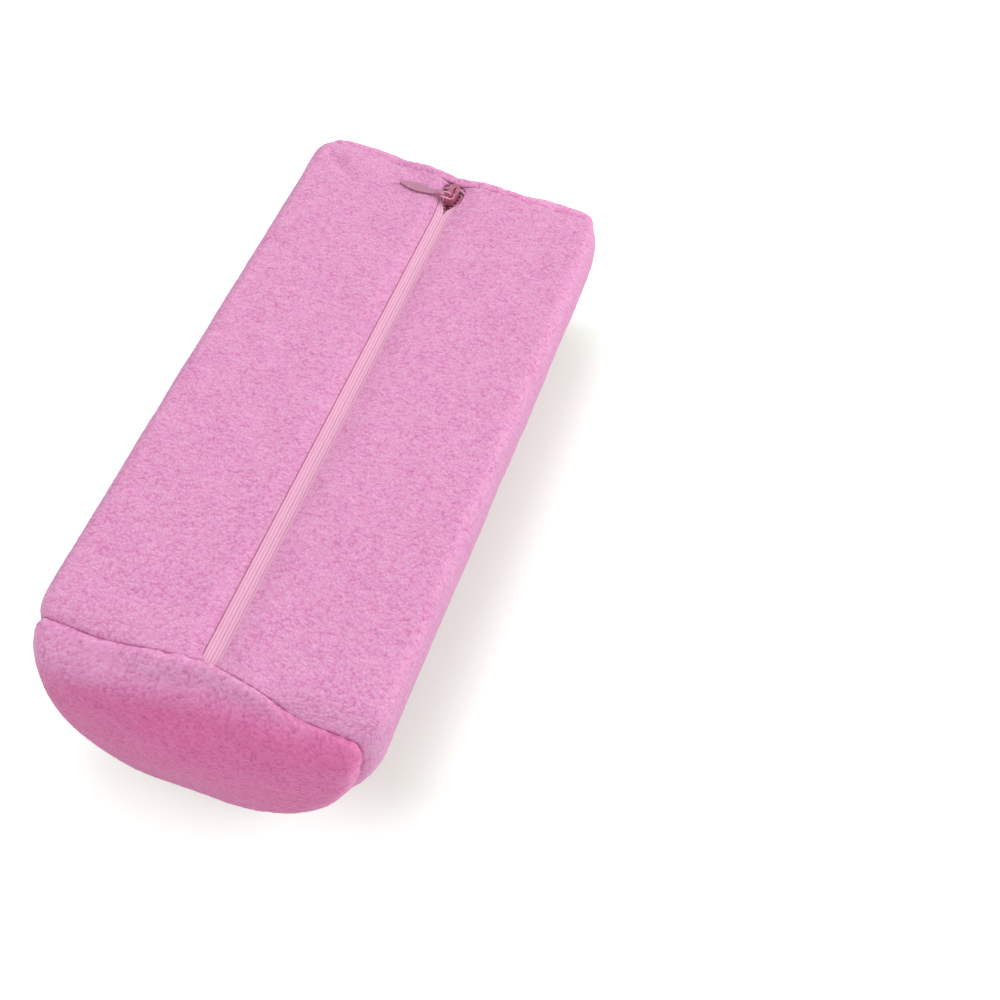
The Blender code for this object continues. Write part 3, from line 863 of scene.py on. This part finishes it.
@dataclass
class ZipPlan:
    """Where the zip lies under the wrap, and how its tapes and the cloth part round the slider."""

    form: CushionForm
    slit: float = 0.0070
    slit_foot: float = 0.0044
    slit_slider: float = 0.0096
    head_closing: float = 0.0022
    parting_length: float = 0.0125
    foot_length: float = 0.0048
    tape_reach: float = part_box("zip_tape_right")[1].x
    tape_top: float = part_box("zip_tape_right")[1].z
    tape_bottom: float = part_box("zip_tape_right")[0].z
    slider_length: float = 0.0105
    nose_start: float = 0.0014
    gap: float = 0.0003
    closed: float = 0.00003

    def __post_init__(self) -> None:
        """Takes the slider's place from its CAD node."""
        low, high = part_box("slider_body")
        self.slider_y = (low.y + high.y) / 2
        self.parted = high.x + self.gap

    def slit_half(self, y: np.ndarray) -> np.ndarray:
        """Half the width between the cloth edges.

        Args:
            y: Places along the zip.

        Returns:
            The slit's half width, which narrows at the foot, widens round the slider and closes a little
            beyond it.
        """
        foot_start = self.form.seam_y_face - self.foot_length
        foot = smoothstep(-y, foot_start, self.form.seam_y_face)
        head = smoothstep(y, self.slider_y - self.slider_length / 2 - self.parting_length, self.slider_y)
        closing = smoothstep(y, self.slider_y + self.slider_length / 4, self.form.seam_y_face)
        width = self.slit + foot * (self.slit_foot - self.slit) + head * (self.slit_slider - self.slit)
        return width / 2 - closing * self.head_closing

    def parting(self, y: np.ndarray) -> np.ndarray:
        """How far a tape's inner edge is from the middle of the zip.

        Args:
            y: Places along the zip.

        Returns:
            Almost nothing up to the slider, then a smooth parting that closes round its nose.
        """
        start = self.slider_y - self.parting_length
        share = smoothstep(y, start, self.slider_y + self.slider_length / 8)
        nose_end = self.slider_length / 2
        nose = np.clip((y - self.slider_y - self.nose_start) / (nose_end - self.nose_start), 0, 1)
        return self.closed + (self.parted - self.closed) * share * np.sqrt(1 - nose**2)


@dataclass(frozen=True)
class EndSeam:
    """The look of a sewn end seam: small gathers, a groove that its stitches pull in, and its allowance."""

    groove_depth: float = 0.0011
    groove_length: float = 0.0018
    pucker_depth: float = 0.0007
    pucker_pitch: float = 0.0054
    pucker_reach: float = 0.0065
    pucker_stretch: float = 0.4
    fine_share: float = 0.6
    fine_stretch: float = 0.6
    stitch_pitch: float = 0.0024
    stitch_pull: float = 0.7
    allowance_room: float = 0.0026
    allowance_width: float = 0.0016
    allowance_height: float = 0.0005
    seed: int = 26

    def relief(self, way: np.ndarray, distance: np.ndarray, end: End) -> np.ndarray:
        """The relief of a seam on either side of it.

        Args:
            way: The way round the seam.
            distance: How far from the seam.
            end: Whose seam.

        Returns:
            Small gathers that run away from the seam and die out with exp(-distance / reach), less the
            groove where the cloth turns in, a quarter of an ellipse, which the stitches pull in unevenly.
        """
        seed = self.seed + 5 * end.value
        coarse = Unevenness(seed, self.pucker_pitch).at(way, distance * self.pucker_stretch)
        fine = Unevenness(seed + 1, self.pucker_pitch / 3).at(way, distance * self.fine_stretch)
        fading = np.exp(-distance / self.pucker_reach)
        gathers = self.pucker_depth * (coarse + self.fine_share * fine) * fading
        share = np.clip(1 - distance / self.groove_length, 0, 1)
        pulled = 1 + self.stitch_pull * Unevenness(seed + 2, self.stitch_pitch).at(way)
        return gathers - self.groove_depth * pulled * (1 - np.sqrt(1 - share**2))

    def allowance(self, distance: np.ndarray) -> np.ndarray:
        """The soft ridge over the turned-in cloth, a bell curve of the distance from the seam."""
        return self.allowance_height * hill(distance, self.allowance_room, self.allowance_width)


@dataclass(frozen=True)
class ZipEdge:
    """The wrap beside the zip: a folded edge that sinks to the tape, a line of stitches and a soft ridge."""

    fold_radius: float = 0.0004
    fold_angles: tuple = (-60, -20, 20, 60)
    drop: float = 0.0013
    drop_width: float = 0.0030
    rise: tuple = (-0.0002, 0.0016)
    stitch_room: float = 0.0042
    stitch_width: float = 0.0011
    stitch_depth: float = 0.0003
    stitch_pull: float = 0.6
    stitches: Unevenness = Unevenness(41, 0.004)
    ridge_x: float = -0.0085
    ridge_width: float = 0.0028
    ridge_height: float = 0.0006
    ridge_rise: tuple = (0.02, 0.10)

    def relief(self, x: np.ndarray, y: np.ndarray, beside: np.ndarray) -> np.ndarray:
        """The ridge less the stitched line.

        Args:
            x: Places across.
            y: Places along.
            beside: How far from the cloth's edge at the slit.

        Returns:
            A bell curve across the ridge, which rises towards the slider, less another along the line of
            stitches, which pull unevenly.
        """
        ridge = self.ridge_height * hill(x, self.ridge_x, self.ridge_width) * smoothstep(y, *self.ridge_rise)
        uneven = 1 + self.stitch_pull * self.stitches.at(y, x)
        stitched = -self.stitch_depth * hill(beside, self.stitch_room, self.stitch_width) * uneven
        return ridge + stitched


@dataclass(frozen=True)
class CornerCreases:
    """Two short pinched folds at the far left corner of the face.

    The middle is the first fold's x and its room to the far seam, and the second one is shifted from it
    to the right and towards the near end. The way is their direction.
    """

    middle: tuple = (-0.052, 0.0135)
    shifts: tuple = (0.0, 0.006)
    depths: tuple = (0.0019, 0.0011)
    way: tuple = (0.83, -0.56)
    width: float = 0.0021
    length: float = 0.0062
    fade: float = 0.01

    def relief(self, points: np.ndarray, form: CushionForm) -> np.ndarray:
        """The depth of both folds.

        Args:
            points: The plain form's points.
            form: The plain form.

        Returns:
            Valleys, each a bell curve across its line and a longer one along it, on the face only.
        """
        lift = np.zeros(points.shape[:-1])
        x, room = self.middle
        along = np.array(self.way)
        across = np.array([-along[1], along[0]])
        for shift, depth in zip(self.shifts, self.depths):
            at = points[..., :2] - np.array([x + shift, form.seam_y - room - shift])
            away, run = at @ across / self.width, at @ along / self.length
            lift -= depth * np.exp(-(away**2) - run**2)
        return lift * smoothstep(points[..., 2], form.shoulder_level - self.fade, form.shoulder_level)


@dataclass
class Cover:
    """The towelling cover: a wrap round the cushion and two D-shaped end panels."""

    form: CushionForm
    zip_plan: ZipPlan
    seam: EndSeam = EndSeam()
    zip_edge: ZipEdge = ZipEdge()
    creases: CornerCreases = CornerCreases()
    column_pitch: float = 0.00114
    row_pitch: float = 0.00116
    first_row: float = 0.00014
    first_ring: float = 0.0018
    largest_ring: float = 0.019
    lining_share: int = 6
    lining_rings: int = 4
    skew_from: float = 0.4
    chord_half: float = 0.004
    normals_reach: float = 0.0022
    roughness: float = 0.00006
    waves: Unevenness = Unevenness(11, 0.034)
    wave_height: float = 0.0004
    ripples: Unevenness = Unevenness(12, 0.011)
    ripple_height: float = 0.00016
    pull_sweep: float = 0.0300
    pull_ease: float = 0.006
    pull_room: float = 0.00022
    free_room: float = 0.002
    dent_depth: float = 0.0005
    dent_pitch: float = 0.024
    dent_shift: float = 0.1
    dent_rise: float = 0.010
    tip_smooth: tuple = (0.006, 0.036)
    wrap_seed: int = 7
    panel_seed: int = 56
    panel_relief_depth: float = 0.22
    # Painted shade for the end panels: deeper colours down each panel, and on the near one also towards +X.
    painted_shade_pile: Pile = Pile(srgb(236, 136, 188), srgb(229, 119, 175), srgb(211, 96, 155))
    painted_shade_slant: float = 0.14

    def seam_normals(self, normal: np.ndarray, way: np.ndarray, distance: np.ndarray, end: End) -> np.ndarray:
        """Normals that both sides of a seam share, so that relief there opens no crack.

        Args:
            normal: The plain form's normals.
            way: The way round the section.
            distance: How far from the seam.
            end: Whose seam.

        Returns:
            The normal of the chord across the seam's dip, eased into the form's own over a few millimetres.
        """
        form = self.form
        at = end.value * form.seam_at(way, end)
        across = form.skin(way, at + self.chord_half) - form.skin(way, at - self.chord_half)
        around = form.skin(way + MM, at) - form.skin(way - MM, at)
        shared = np.cross(around, across)
        shared /= np.linalg.norm(shared, axis=-1, keepdims=True)
        shared = shared * np.where((shared * normal).sum(-1, keepdims=True) < 0, -1, 1)
        near = hill(distance, 0.0, self.normals_reach)[..., None]
        mixed = normal * (1 - near) + shared * near
        return mixed / np.linalg.norm(mixed, axis=-1, keepdims=True)

    def wrap(self) -> bpy.types.Object:
        """The wrap, from one edge of the zip's slit to the other.

        Returns:
            A closed shell: the outside with its relief, two rounded folded edges along the zip, the lining
            at a coarser pitch, and the cut edges at both seams.
        """
        form = self.form
        half = graded(form.seam, self.first_row, self.row_pitch) / form.seam
        station = np.concatenate([half - 1, (1 - half)[::-1][1:]])[:, None]
        radius = self.zip_edge.fold_radius
        start = self.zip_plan.slit_half(station * form.seam_y_face) + radius
        count = round(2 * form.half_round / self.column_pitch / self.lining_share) * self.lining_share
        share = np.linspace(0, 1, count + 1)
        way = start + (2 * form.half_round - 2 * start) * share
        at = np.where(station < 0, form.seam_at(way, End.NEAR), form.seam_at(way, End.FAR))
        skew = (at - form.seam) * np.sign(station) * smoothstep(np.abs(station), self.skew_from, 1.0)
        at = form.seam * station + skew
        outside = form.skin(way, at)
        x, z = form.section(way)
        outward = np.stack([x, np.zeros_like(x), z - form.middle], -1)
        normal = grid_normals(outside, outward)
        distance = (1 - np.abs(station)) * form.seam
        for end in End:
            rows = np.sign(station[:, 0]) == end.value
            normal[rows] = self.seam_normals(normal[rows], way[rows], distance[rows] + 0 * way[rows], end)
        lift = self.relief(way, outside, distance)
        outside = outside + normal * lift[..., None]
        lining_way, lining_at = (grid[:, :: self.lining_share] for grid in (way, at))
        lining = form.skin(lining_way, lining_at) - normal[:, :: self.lining_share] * form.terry
        edge = np.radians(self.zip_edge.fold_angles)
        first, last = outside[:, :1], outside[:, -1:]
        out = np.stack([radius * np.cos(edge), 0 * edge, radius * np.sin(edge) - radius], -1)
        right_edge = first + out * [-1, 1, 1]
        left_edge = (last + out)[:, ::-1]
        surface = Surface()
        cloth = np.stack([way, at], -1)
        ring = [
            surface.add_points(right_edge, np.stack([start + 0 * edge, at[:, :1] + 0 * edge], -1)),
            surface.add_points(outside, cloth),
            surface.add_points(left_edge, np.stack([way[:, -1:] + 0 * edge, at[:, :1] + 0 * edge], -1)),
            surface.add_points(lining[:, ::-1], np.stack([lining_way, lining[..., 1]], -1)[:, ::-1]),
        ]
        surface.add_grid(np.concatenate(ring, axis=1), closed=True)
        for row in (0, -1):
            right, outer, left, inner = (numbers[row] for numbers in ring)
            self.cut_edge(surface, outer, inner[::-1])
            surface.add_faces(np.concatenate([inner[-1:], right, outer[:1]])[None])
            surface.add_faces(np.concatenate([outer[-1:], left, inner[:1]])[None])
        piece = surface.piece("towelling_wrap", "cushion")
        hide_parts("cover_wrap")
        return piece

    def cut_edge(self, surface: Surface, outer: np.ndarray, inner: np.ndarray) -> None:
        """Closes the shell between an outer row and the coarser lining row that follows it.

        Args:
            surface: The shell.
            outer: The outer row's numbers.
            inner: The lining row's numbers, in the same direction.
        """
        step = self.lining_share
        spans = np.arange(len(inner) - 1)
        run = outer[spans[:, None] * step + np.arange(step + 1)]
        surface.add_faces(np.column_stack([run, inner[1:], inner[:-1]]))

    def relief(self, way: np.ndarray, points: np.ndarray, distance: np.ndarray) -> np.ndarray:
        """How far the wrap's outside stands proud of the plain form.

        Args:
            way: The way round the section.
            points: The plain form's points.
            distance: Each row's distance from the nearer seam.

        Returns:
            The pile's roughness, slow waves of the foam, the relief beside the zip and at the seams, and
            the creases in the corner. The cloth stays low where the pull passes over it.
        """
        x, y = points[..., 0], points[..., 1]
        rough = np.random.default_rng(self.wrap_seed).normal(0, self.roughness, way.shape)
        waves = self.wave_height * self.waves.at(way, y) + self.ripple_height * self.ripples.at(way, y)
        near, far = (self.seam.relief(way, distance + 0 * way, end) for end in End)
        seams = np.where(y < 0, near, far)
        on_face = smoothstep(points[..., 2], self.form.shoulder_level, self.form.height)
        beside = np.abs(x) - self.zip_plan.slit_half(y)
        edge = self.zip_edge
        lift = rough + waves + on_face * edge.relief(x, y, beside)
        sunk = edge.drop * on_face * hill(beside, 0.0, edge.drop_width)
        lift = lift * smoothstep(beside, *edge.rise) - sunk
        beyond = smoothstep(np.abs(x), self.pull_sweep, self.pull_sweep + self.pull_ease)
        most = self.pull_room + self.free_room * (beyond + 1 - on_face)
        return np.minimum(lift + seams, most) + self.creases.relief(points, self.form)

    def end_panel(self, name: str, end: End, seed: int) -> bpy.types.Object:
        """One D-shaped end panel.

        Args:
            name: The piece's name; the CAD node that it replaces is called the same but for its last word.
            end: Which end it closes.
            seed: For its own relief.

        Returns:
            A closed shell: the bulged outside, the lining behind it and the edge at the seam.
        """
        form = self.form
        columns = round(2 * form.half_round / self.column_pitch / self.lining_share) * self.lining_share
        side = end.value
        way = np.linspace(0, 2 * form.half_round, columns, endpoint=False)
        seam = form.seam_at(way, end)
        reach = graded(1.0, self.first_ring, self.largest_ring)
        at = side * (seam + (form.tip - seam) * reach[:-1, None])
        outside = form.skin(way, at)
        tip = form.skin(np.zeros(1), np.full(1, side * form.tip))[0]
        wide = np.concatenate([outside[:, -1:], outside, outside[:, :1]], 1)
        normal = grid_normals(wide, np.array([0.0, side, 0.0]))[:, 1:-1]
        outward = outside - [0.0, side * form.round_start, form.middle]
        normal *= np.where((normal * outward).sum(-1, keepdims=True) < 0, -1, 1)
        run = np.linalg.norm(np.diff(outside, axis=0), axis=-1)
        distance = np.concatenate([np.zeros((1, columns)), np.cumsum(run, 0)])
        from_tip = distance[-1:] + np.linalg.norm(outside[-1] - tip, axis=-1) - distance
        normal = self.seam_normals(normal, way + 0 * at, distance, end)
        flat = (outside - tip)[..., [0, 2]]
        flat *= (from_tip / np.maximum(np.linalg.norm(flat, axis=-1), 1e-9))[..., None]
        lift = self.panel_relief(flat, distance, seed) + self.seam.relief(way + 0 * at, distance, end)
        centre_lift = lift[-1].mean()
        outside = outside + normal * lift[..., None]
        lining = form.skin(way[:: self.lining_share], at[:: self.lining_rings, :: self.lining_share])
        lining = lining - normal[:: self.lining_rings, :: self.lining_share] * form.terry
        surface = Surface()
        outer = surface.add_points(outside, flat)
        outer_tip = surface.add_points((tip + [0, side * centre_lift, 0])[None], np.zeros((1, 2)))
        inner = surface.add_points(lining, lining[..., [0, 2]])
        inner_tip = surface.add_points((tip - [0, side * form.terry, 0])[None], np.zeros((1, 2)))
        surface.add_grid(outer, closed=True)
        surface.add_fan(outer[-1], outer_tip[0])
        surface.add_grid(inner, closed=True)
        surface.add_fan(inner[-1], inner_tip[0])
        self.cut_edge(surface, np.append(outer[0], outer[0, 0]), np.append(inner[0], inner[0, 0]))
        piece = surface.piece(name, "cushion")
        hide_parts(name.replace("_towelling", "_panel"))
        return piece

    def panel_relief(self, flat: np.ndarray, distance: np.ndarray, seed: int) -> np.ndarray:
        """How far an end panel's outside stands proud of the plain form, but for its seam.

        Args:
            flat: Places on the flat cloth, from the panel's tip.
            distance: From the seam.
            seed: For its own relief.

        Returns:
            The pile's roughness, less towards the tip where the points lie close, soft dents, and the
            ridge of the seam allowance.
        """
        inwards = smoothstep(distance, 0.0, self.dent_rise)
        outwards = smoothstep(np.linalg.norm(flat, axis=-1), *self.tip_smooth)
        rough = np.random.default_rng(seed).normal(0, self.roughness, distance.shape) * outwards
        uneven = Unevenness(seed + 1, self.dent_pitch)
        dents = self.dent_depth * uneven.at(flat[..., 0] + self.dent_shift, flat[..., 1] + self.dent_shift)
        return (rough + dents) * inwards + self.seam.allowance(distance)

    def build(self) -> None:
        """Makes the wrap and both end panels, and dresses them."""
        self.wrap().data.materials.append(Towelling().material("towelling_wrap_finish"))
        for end in End:
            name = f"{end.name.lower()}_end_towelling"
            panel = self.end_panel(name, end, self.panel_seed + 5 * end.value)
            # Each panel's towelling carries painted shade down the panel; the near one's also deepens towards
            # +X.
            slant = self.painted_shade_slant if end is End.NEAR else 0.0
            painted_shade_towelling = Towelling(painted_shade_pile=self.painted_shade_pile, painted_shade_slant=slant, relief=self.panel_relief_depth)
            panel.data.materials.append(painted_shade_towelling.material(name + "_finish"))


@dataclass
class FoamCore:
    """The foam block inside, pressed in along its top by the zip."""

    form: CushionForm
    zip_plan: ZipPlan
    inset: float = 0.0025
    channel_half: float = 0.0055
    bed_ease: float = 0.0025
    channel_ease: float = 0.002
    columns: int = 220
    rings: int = 160
    reach: float = 0.98

    def build(self) -> bpy.types.Object:
        """The block as one closed surface.

        Returns:
            Rings from the near tip over the end, along the section and over the far end, set in from the
            cover, with their top pressed down to a bed under the tapes and a channel under the slider.
        """
        form = self.form
        way = np.linspace(0, 2 * form.half_round, self.columns, endpoint=False)
        last = self.reach * form.tip
        rings = form.skin(way, np.linspace(-last, last, self.rings)[:, None])
        middle = np.array([0.0, 0.0, form.middle])
        share = 1 - self.inset / np.array([form.half_width, form.length / 2, form.middle])
        rings = middle + (rings - middle) * share
        bed = self.zip_plan.tape_bottom - self.zip_plan.gap
        slider_low, slider_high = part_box("slider_body")
        channel = slider_low.z - self.zip_plan.gap
        x = np.abs(rings[..., 0])
        in_bed = 1 - smoothstep(x, self.zip_plan.tape_reach, self.zip_plan.tape_reach + self.bed_ease)
        in_channel = 1 - smoothstep(x, self.channel_half, self.channel_half + self.channel_ease)
        in_channel *= 1 - smoothstep(rings[..., 1], slider_high.y - MM, slider_high.y + MM)
        top = form.height - in_bed * (form.height - bed) - in_channel * (bed - channel)
        upper = rings[..., 2] > form.middle
        rings[..., 2] = np.where(upper, np.minimum(rings[..., 2], top), rings[..., 2])
        surface = Surface()
        numbers = surface.add_points(rings)
        surface.add_grid(numbers, closed=True)
        for row in (0, -1):
            tip = surface.add_points(rings[row].mean(0)[None])
            surface.add_fan(numbers[row], tip[0])
        piece = surface.piece("foam_block", "cushion")
        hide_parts("foam_core")
        piece.data.materials.append(OpenFoam().material("foam_finish"))
        return piece


@dataclass
class Zip:
    """The zip's tapes, coils and stops."""

    plan: ZipPlan
    rib_pitch: float = 0.0012
    rib_height: float = 0.0002
    rib_count: int = 4
    rib_steps: int = 12
    rib_power: float = 0.6
    flat_steps: int = 4
    rows: int = 250

    def tape(self, name: str, side: float) -> bpy.types.Object:
        """One tape, with round ribs beside the middle of the zip.

        Args:
            name: Which side, in words.
            side: -1 or 1.

        Returns:
            A closed strip, whose top is lowered between the ribs by 1 less a power of |sin|, times the
            rib height.
        """
        low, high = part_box(f"zip_tape_{name}")
        y = np.linspace(low.y, high.y, self.rows)[:, None]
        inner = self.plan.parting(y)
        ribbed = np.linspace(0, self.rib_count * self.rib_pitch, self.rib_steps * self.rib_count + 1)
        flat_part = np.linspace(0, 1, self.flat_steps + 1)[1:]
        edge = inner + ribbed
        beyond = edge[:, -1:] + (self.plan.tape_reach - edge[:, -1:]) * flat_part
        x = np.concatenate([edge, beyond], 1)
        valley = 1 - np.abs(np.sin(math.pi * ribbed / self.rib_pitch)) ** self.rib_power
        drop = np.concatenate([self.rib_height * valley, np.zeros(self.flat_steps)])
        top = np.stack([side * x, y + 0 * x, self.plan.tape_top - drop + 0 * x], -1)
        under_x = x[:, [0, len(ribbed) // 2, -1]]
        under = np.stack([side * under_x, y + 0 * under_x, self.plan.tape_bottom + 0 * under_x], -1)
        across = np.concatenate([ribbed, ribbed[-1] + MM * np.arange(1, self.flat_steps + 1)])
        surface = Surface()
        upper = surface.add_points(top, np.stack([across + 0 * x, y + 0 * x], -1))
        lower = surface.add_points(under[:, ::-1], under[:, ::-1, :2])
        ring = np.concatenate([upper, lower], 1)
        surface.add_grid(ring, closed=True)
        for row in (0, -1):
            surface.add_faces(ring[row][None])
        piece = surface.piece(f"woven_tape_{name}", "cushion", smooth_below=50)
        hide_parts(f"zip_tape_{name}")
        return piece

    def build(self) -> None:
        """Makes the tapes and dresses the coils and stops."""
        weave = ZipTape().material("zip_tape_weave")
        nylon = Nylon().material("zip_coil_nylon")
        metal = CrimpedMetal().material("zip_stop_metal")
        for name, side in (("left", -1.0), ("right", 1.0)):
            self.tape(name, side).data.materials.append(weave)
            dress(f"zip_coil_{name}", nylon)
            dress(f"top_stop_{name}", metal)
        dress("bottom_stop", metal)


@dataclass
class SliderAndPull:
    """The slider, its wire loop and its leaf-shaped tab."""

    edge: float = 0.00010
    tab_share: float = 0.6
    weld: float = 0.000001
    sharp_from: float = math.radians(35)

    def soften(self, node: str, width: float) -> None:
        """Welds a CAD node's loose triangles and rounds its edges, as live modifiers.

        Args:
            node: The node's name.
            width: How wide the rounding is.
        """
        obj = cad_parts[node]
        weld = obj.modifiers.new("weld", "WELD")
        weld.merge_threshold = self.weld
        rounding = obj.modifiers.new("cast edges", "BEVEL")
        rounding.width = width
        rounding.segments = 2
        rounding.limit_method = "ANGLE"
        rounding.angle_limit = self.sharp_from
        rounding.harden_normals = False

    def build(self) -> None:
        """Dresses the slider, the loop and the tab, and softens the two that are cast."""
        dress("slider_body", PaintedZinc().material("slider_paint"))
        dress("pull_loop", PaintedZinc(paint=srgb(216, 146, 170), roughness=0.28).material("loop_paint"))
        leaf = PaintedZinc(paint=srgb(196, 138, 164), worn=srgb(214, 164, 188), roughness=0.42)
        dress("pull_tab", leaf.material("tab_paint"))
        self.soften("slider_body", self.edge)
        self.soften("pull_tab", self.edge * self.tab_share)


# The studio


@dataclass(frozen=True)
class PhotoCamera:
    """The camera, by its angles round the cushion's middle, and how far it then moves aside and up."""

    pivot: tuple = (0.0, 0.0, 0.0375)
    azimuth: float = 9.9
    elevation: float = 51.84
    roll: float = 10.25
    distance: float = 0.6764
    aside: float = -0.0621
    above: float = 0.0180
    focal_pixels: float = 1696.0
    picture: float = 1000.0
    sensor: float = 36.0
    clip: tuple = (0.01, 20.0)

    def build(self) -> None:
        """Places the scene's camera."""
        a, e, r = (math.radians(angle) for angle in (self.azimuth, self.elevation, self.roll))
        back = Vector((math.sin(a) * math.cos(e), -math.cos(a) * math.cos(e), math.sin(e)))
        right = Vector((math.cos(a), math.sin(a), 0.0))
        up = back.cross(right)
        right, up = math.cos(r) * right + math.sin(r) * up, -math.sin(r) * right + math.cos(r) * up
        data = bpy.data.cameras.new("photo_camera")
        data.sensor_width = self.sensor
        data.lens = self.sensor * self.focal_pixels / self.picture
        data.clip_start, data.clip_end = self.clip
        camera = bpy.data.objects.new("photo_camera", data)
        bpy.context.scene.collection.objects.link(camera)
        place = Vector(self.pivot) + back * self.distance - right * self.aside - up * self.above
        turned = Matrix((right, up, back)).transposed().to_4x4()
        camera.matrix_world = Matrix.Translation(place) @ turned
        bpy.context.scene.camera = camera


@dataclass(frozen=True)
class Lamp:
    """A soft square lamp that faces the cushion."""

    name: str
    place: tuple
    size: float
    power: float
    aim: tuple = (0.0, 0.0, 0.03)

    def build(self) -> None:
        """Hangs the lamp."""
        data = bpy.data.lights.new(self.name, "AREA")
        data.size = self.size
        data.energy = self.power
        lamp = bpy.data.objects.new(self.name, data)
        lamp.location = self.place
        lamp.rotation_euler = (Vector(self.aim) - Vector(self.place)).to_track_quat("-Z", "Y").to_euler()
        bpy.context.scene.collection.objects.link(lamp)


@dataclass
class Studio:
    """A pale floor with a strip of painted shadow, three soft lamps and a white world. The strip's edges are
    in millimetres.
    """

    key: Lamp = Lamp("key", (-0.35, 0.25, 1.30), 0.8, 5.5)
    fill: Lamp = Lamp("fill", (0.25, -1.30, 0.95), 1.2, 3.2)
    side: Lamp = Lamp("side", (1.12, 0.62, 0.48), 0.9, 9.5)
    world_level: float = 0.58
    floor_size: float = 8.0
    glow: tuple = (0.45, 0.52, 0.47, 1.0)
    # The weaker, greener glow of the painted shadow strip beside the cushion's right side.
    painted_shadow_glow: tuple = (0.09, 0.19, 0.10, 1.0)
    shadow_strip_in: tuple = (20.0, 55.0)
    shadow_strip_out: tuple = (108.0, 62.0)
    shadow_strip_front: tuple = (-150.0, -105.0)
    shadow_strip_back: tuple = (168.0, 138.0)

    def floor(self) -> None:
        """The floor, which the camera sees a little brighter than it is, so that it comes out white.

        A strip along the right side is brightened less and tinted greener, a painted shadow, and there the
        cushion's own shadow shows too.
        """
        mesh = bpy.data.meshes.new("floor")
        half = self.floor_size / 2
        square = [(-half, -half, 0), (half, -half, 0), (half, half, 0), (-half, half, 0)]
        mesh.from_pydata(square, [], [(0, 1, 2, 3)])
        obj = bpy.data.objects.new("floor", mesh)
        bpy.context.scene.collection.objects.link(obj)
        g = Graph("floor_paper")
        g.shade({"Base Color": srgb(236, 236, 235), "Roughness": 0.9, "Specular IOR Level": 0.1})
        path = g.node("ShaderNodeLightPath")
        seen = Value(g, path.outputs["Is Camera Ray"])
        # Painted shadow: the glow is weaker in a strip along the cushion's right side.
        x, y = g.parts(g.place())
        across = x.steps(*self.shadow_strip_in) * x.steps(*self.shadow_strip_out)
        along = y.steps(*self.shadow_strip_front) * y.steps(*self.shadow_strip_back)
        colour = g.mix(across * along, self.glow, self.painted_shadow_glow)
        glow = g.value("ShaderNodeEmission", None, {"Color": colour, "Strength": seen})
        both = g.node("ShaderNodeAddShader", None, {0: Value(g, g.shader.outputs[0]), 1: glow})
        g.links.new(both.outputs[0], g.nodes["Material Output"].inputs["Surface"])
        mesh.materials.append(g.material)
        obj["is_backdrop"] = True

    def build(self) -> None:
        """Makes the floor, the lamps, the world and the view settings."""
        self.floor()
        for lamp in (self.key, self.fill, self.side):
            lamp.build()
        world = bpy.data.worlds.new("studio")
        world.use_nodes = True
        background = world.node_tree.nodes["Background"]
        background.inputs["Color"].default_value = (1, 1, 1, 1)
        background.inputs["Strength"].default_value = self.world_level
        bpy.context.scene.world = world
        bpy.context.scene.view_settings.view_transform = "Standard"
        PhotoCamera().build()


def corners(box: tuple[Vector, Vector]) -> list[list[float]]:
    """A box as plain lists."""
    return [[float(value) for value in corner] for corner in box]


def main(cad_box: list[list[float]]) -> None:
    """Builds and dresses every piece.

    Args:
        cad_box: The box of the part straight after loading; not used.
    """
    logging.basicConfig(level=logging.INFO, format="%(name)s %(message)s")
    form = CushionForm()
    plan = ZipPlan(form)
    Cover(form, plan).build()
    FoamCore(form, plan).build()
    Zip(plan).build()
    SliderAndPull().build()
    Studio().build()


if __name__ == "__main__":
    main(corners(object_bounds()))
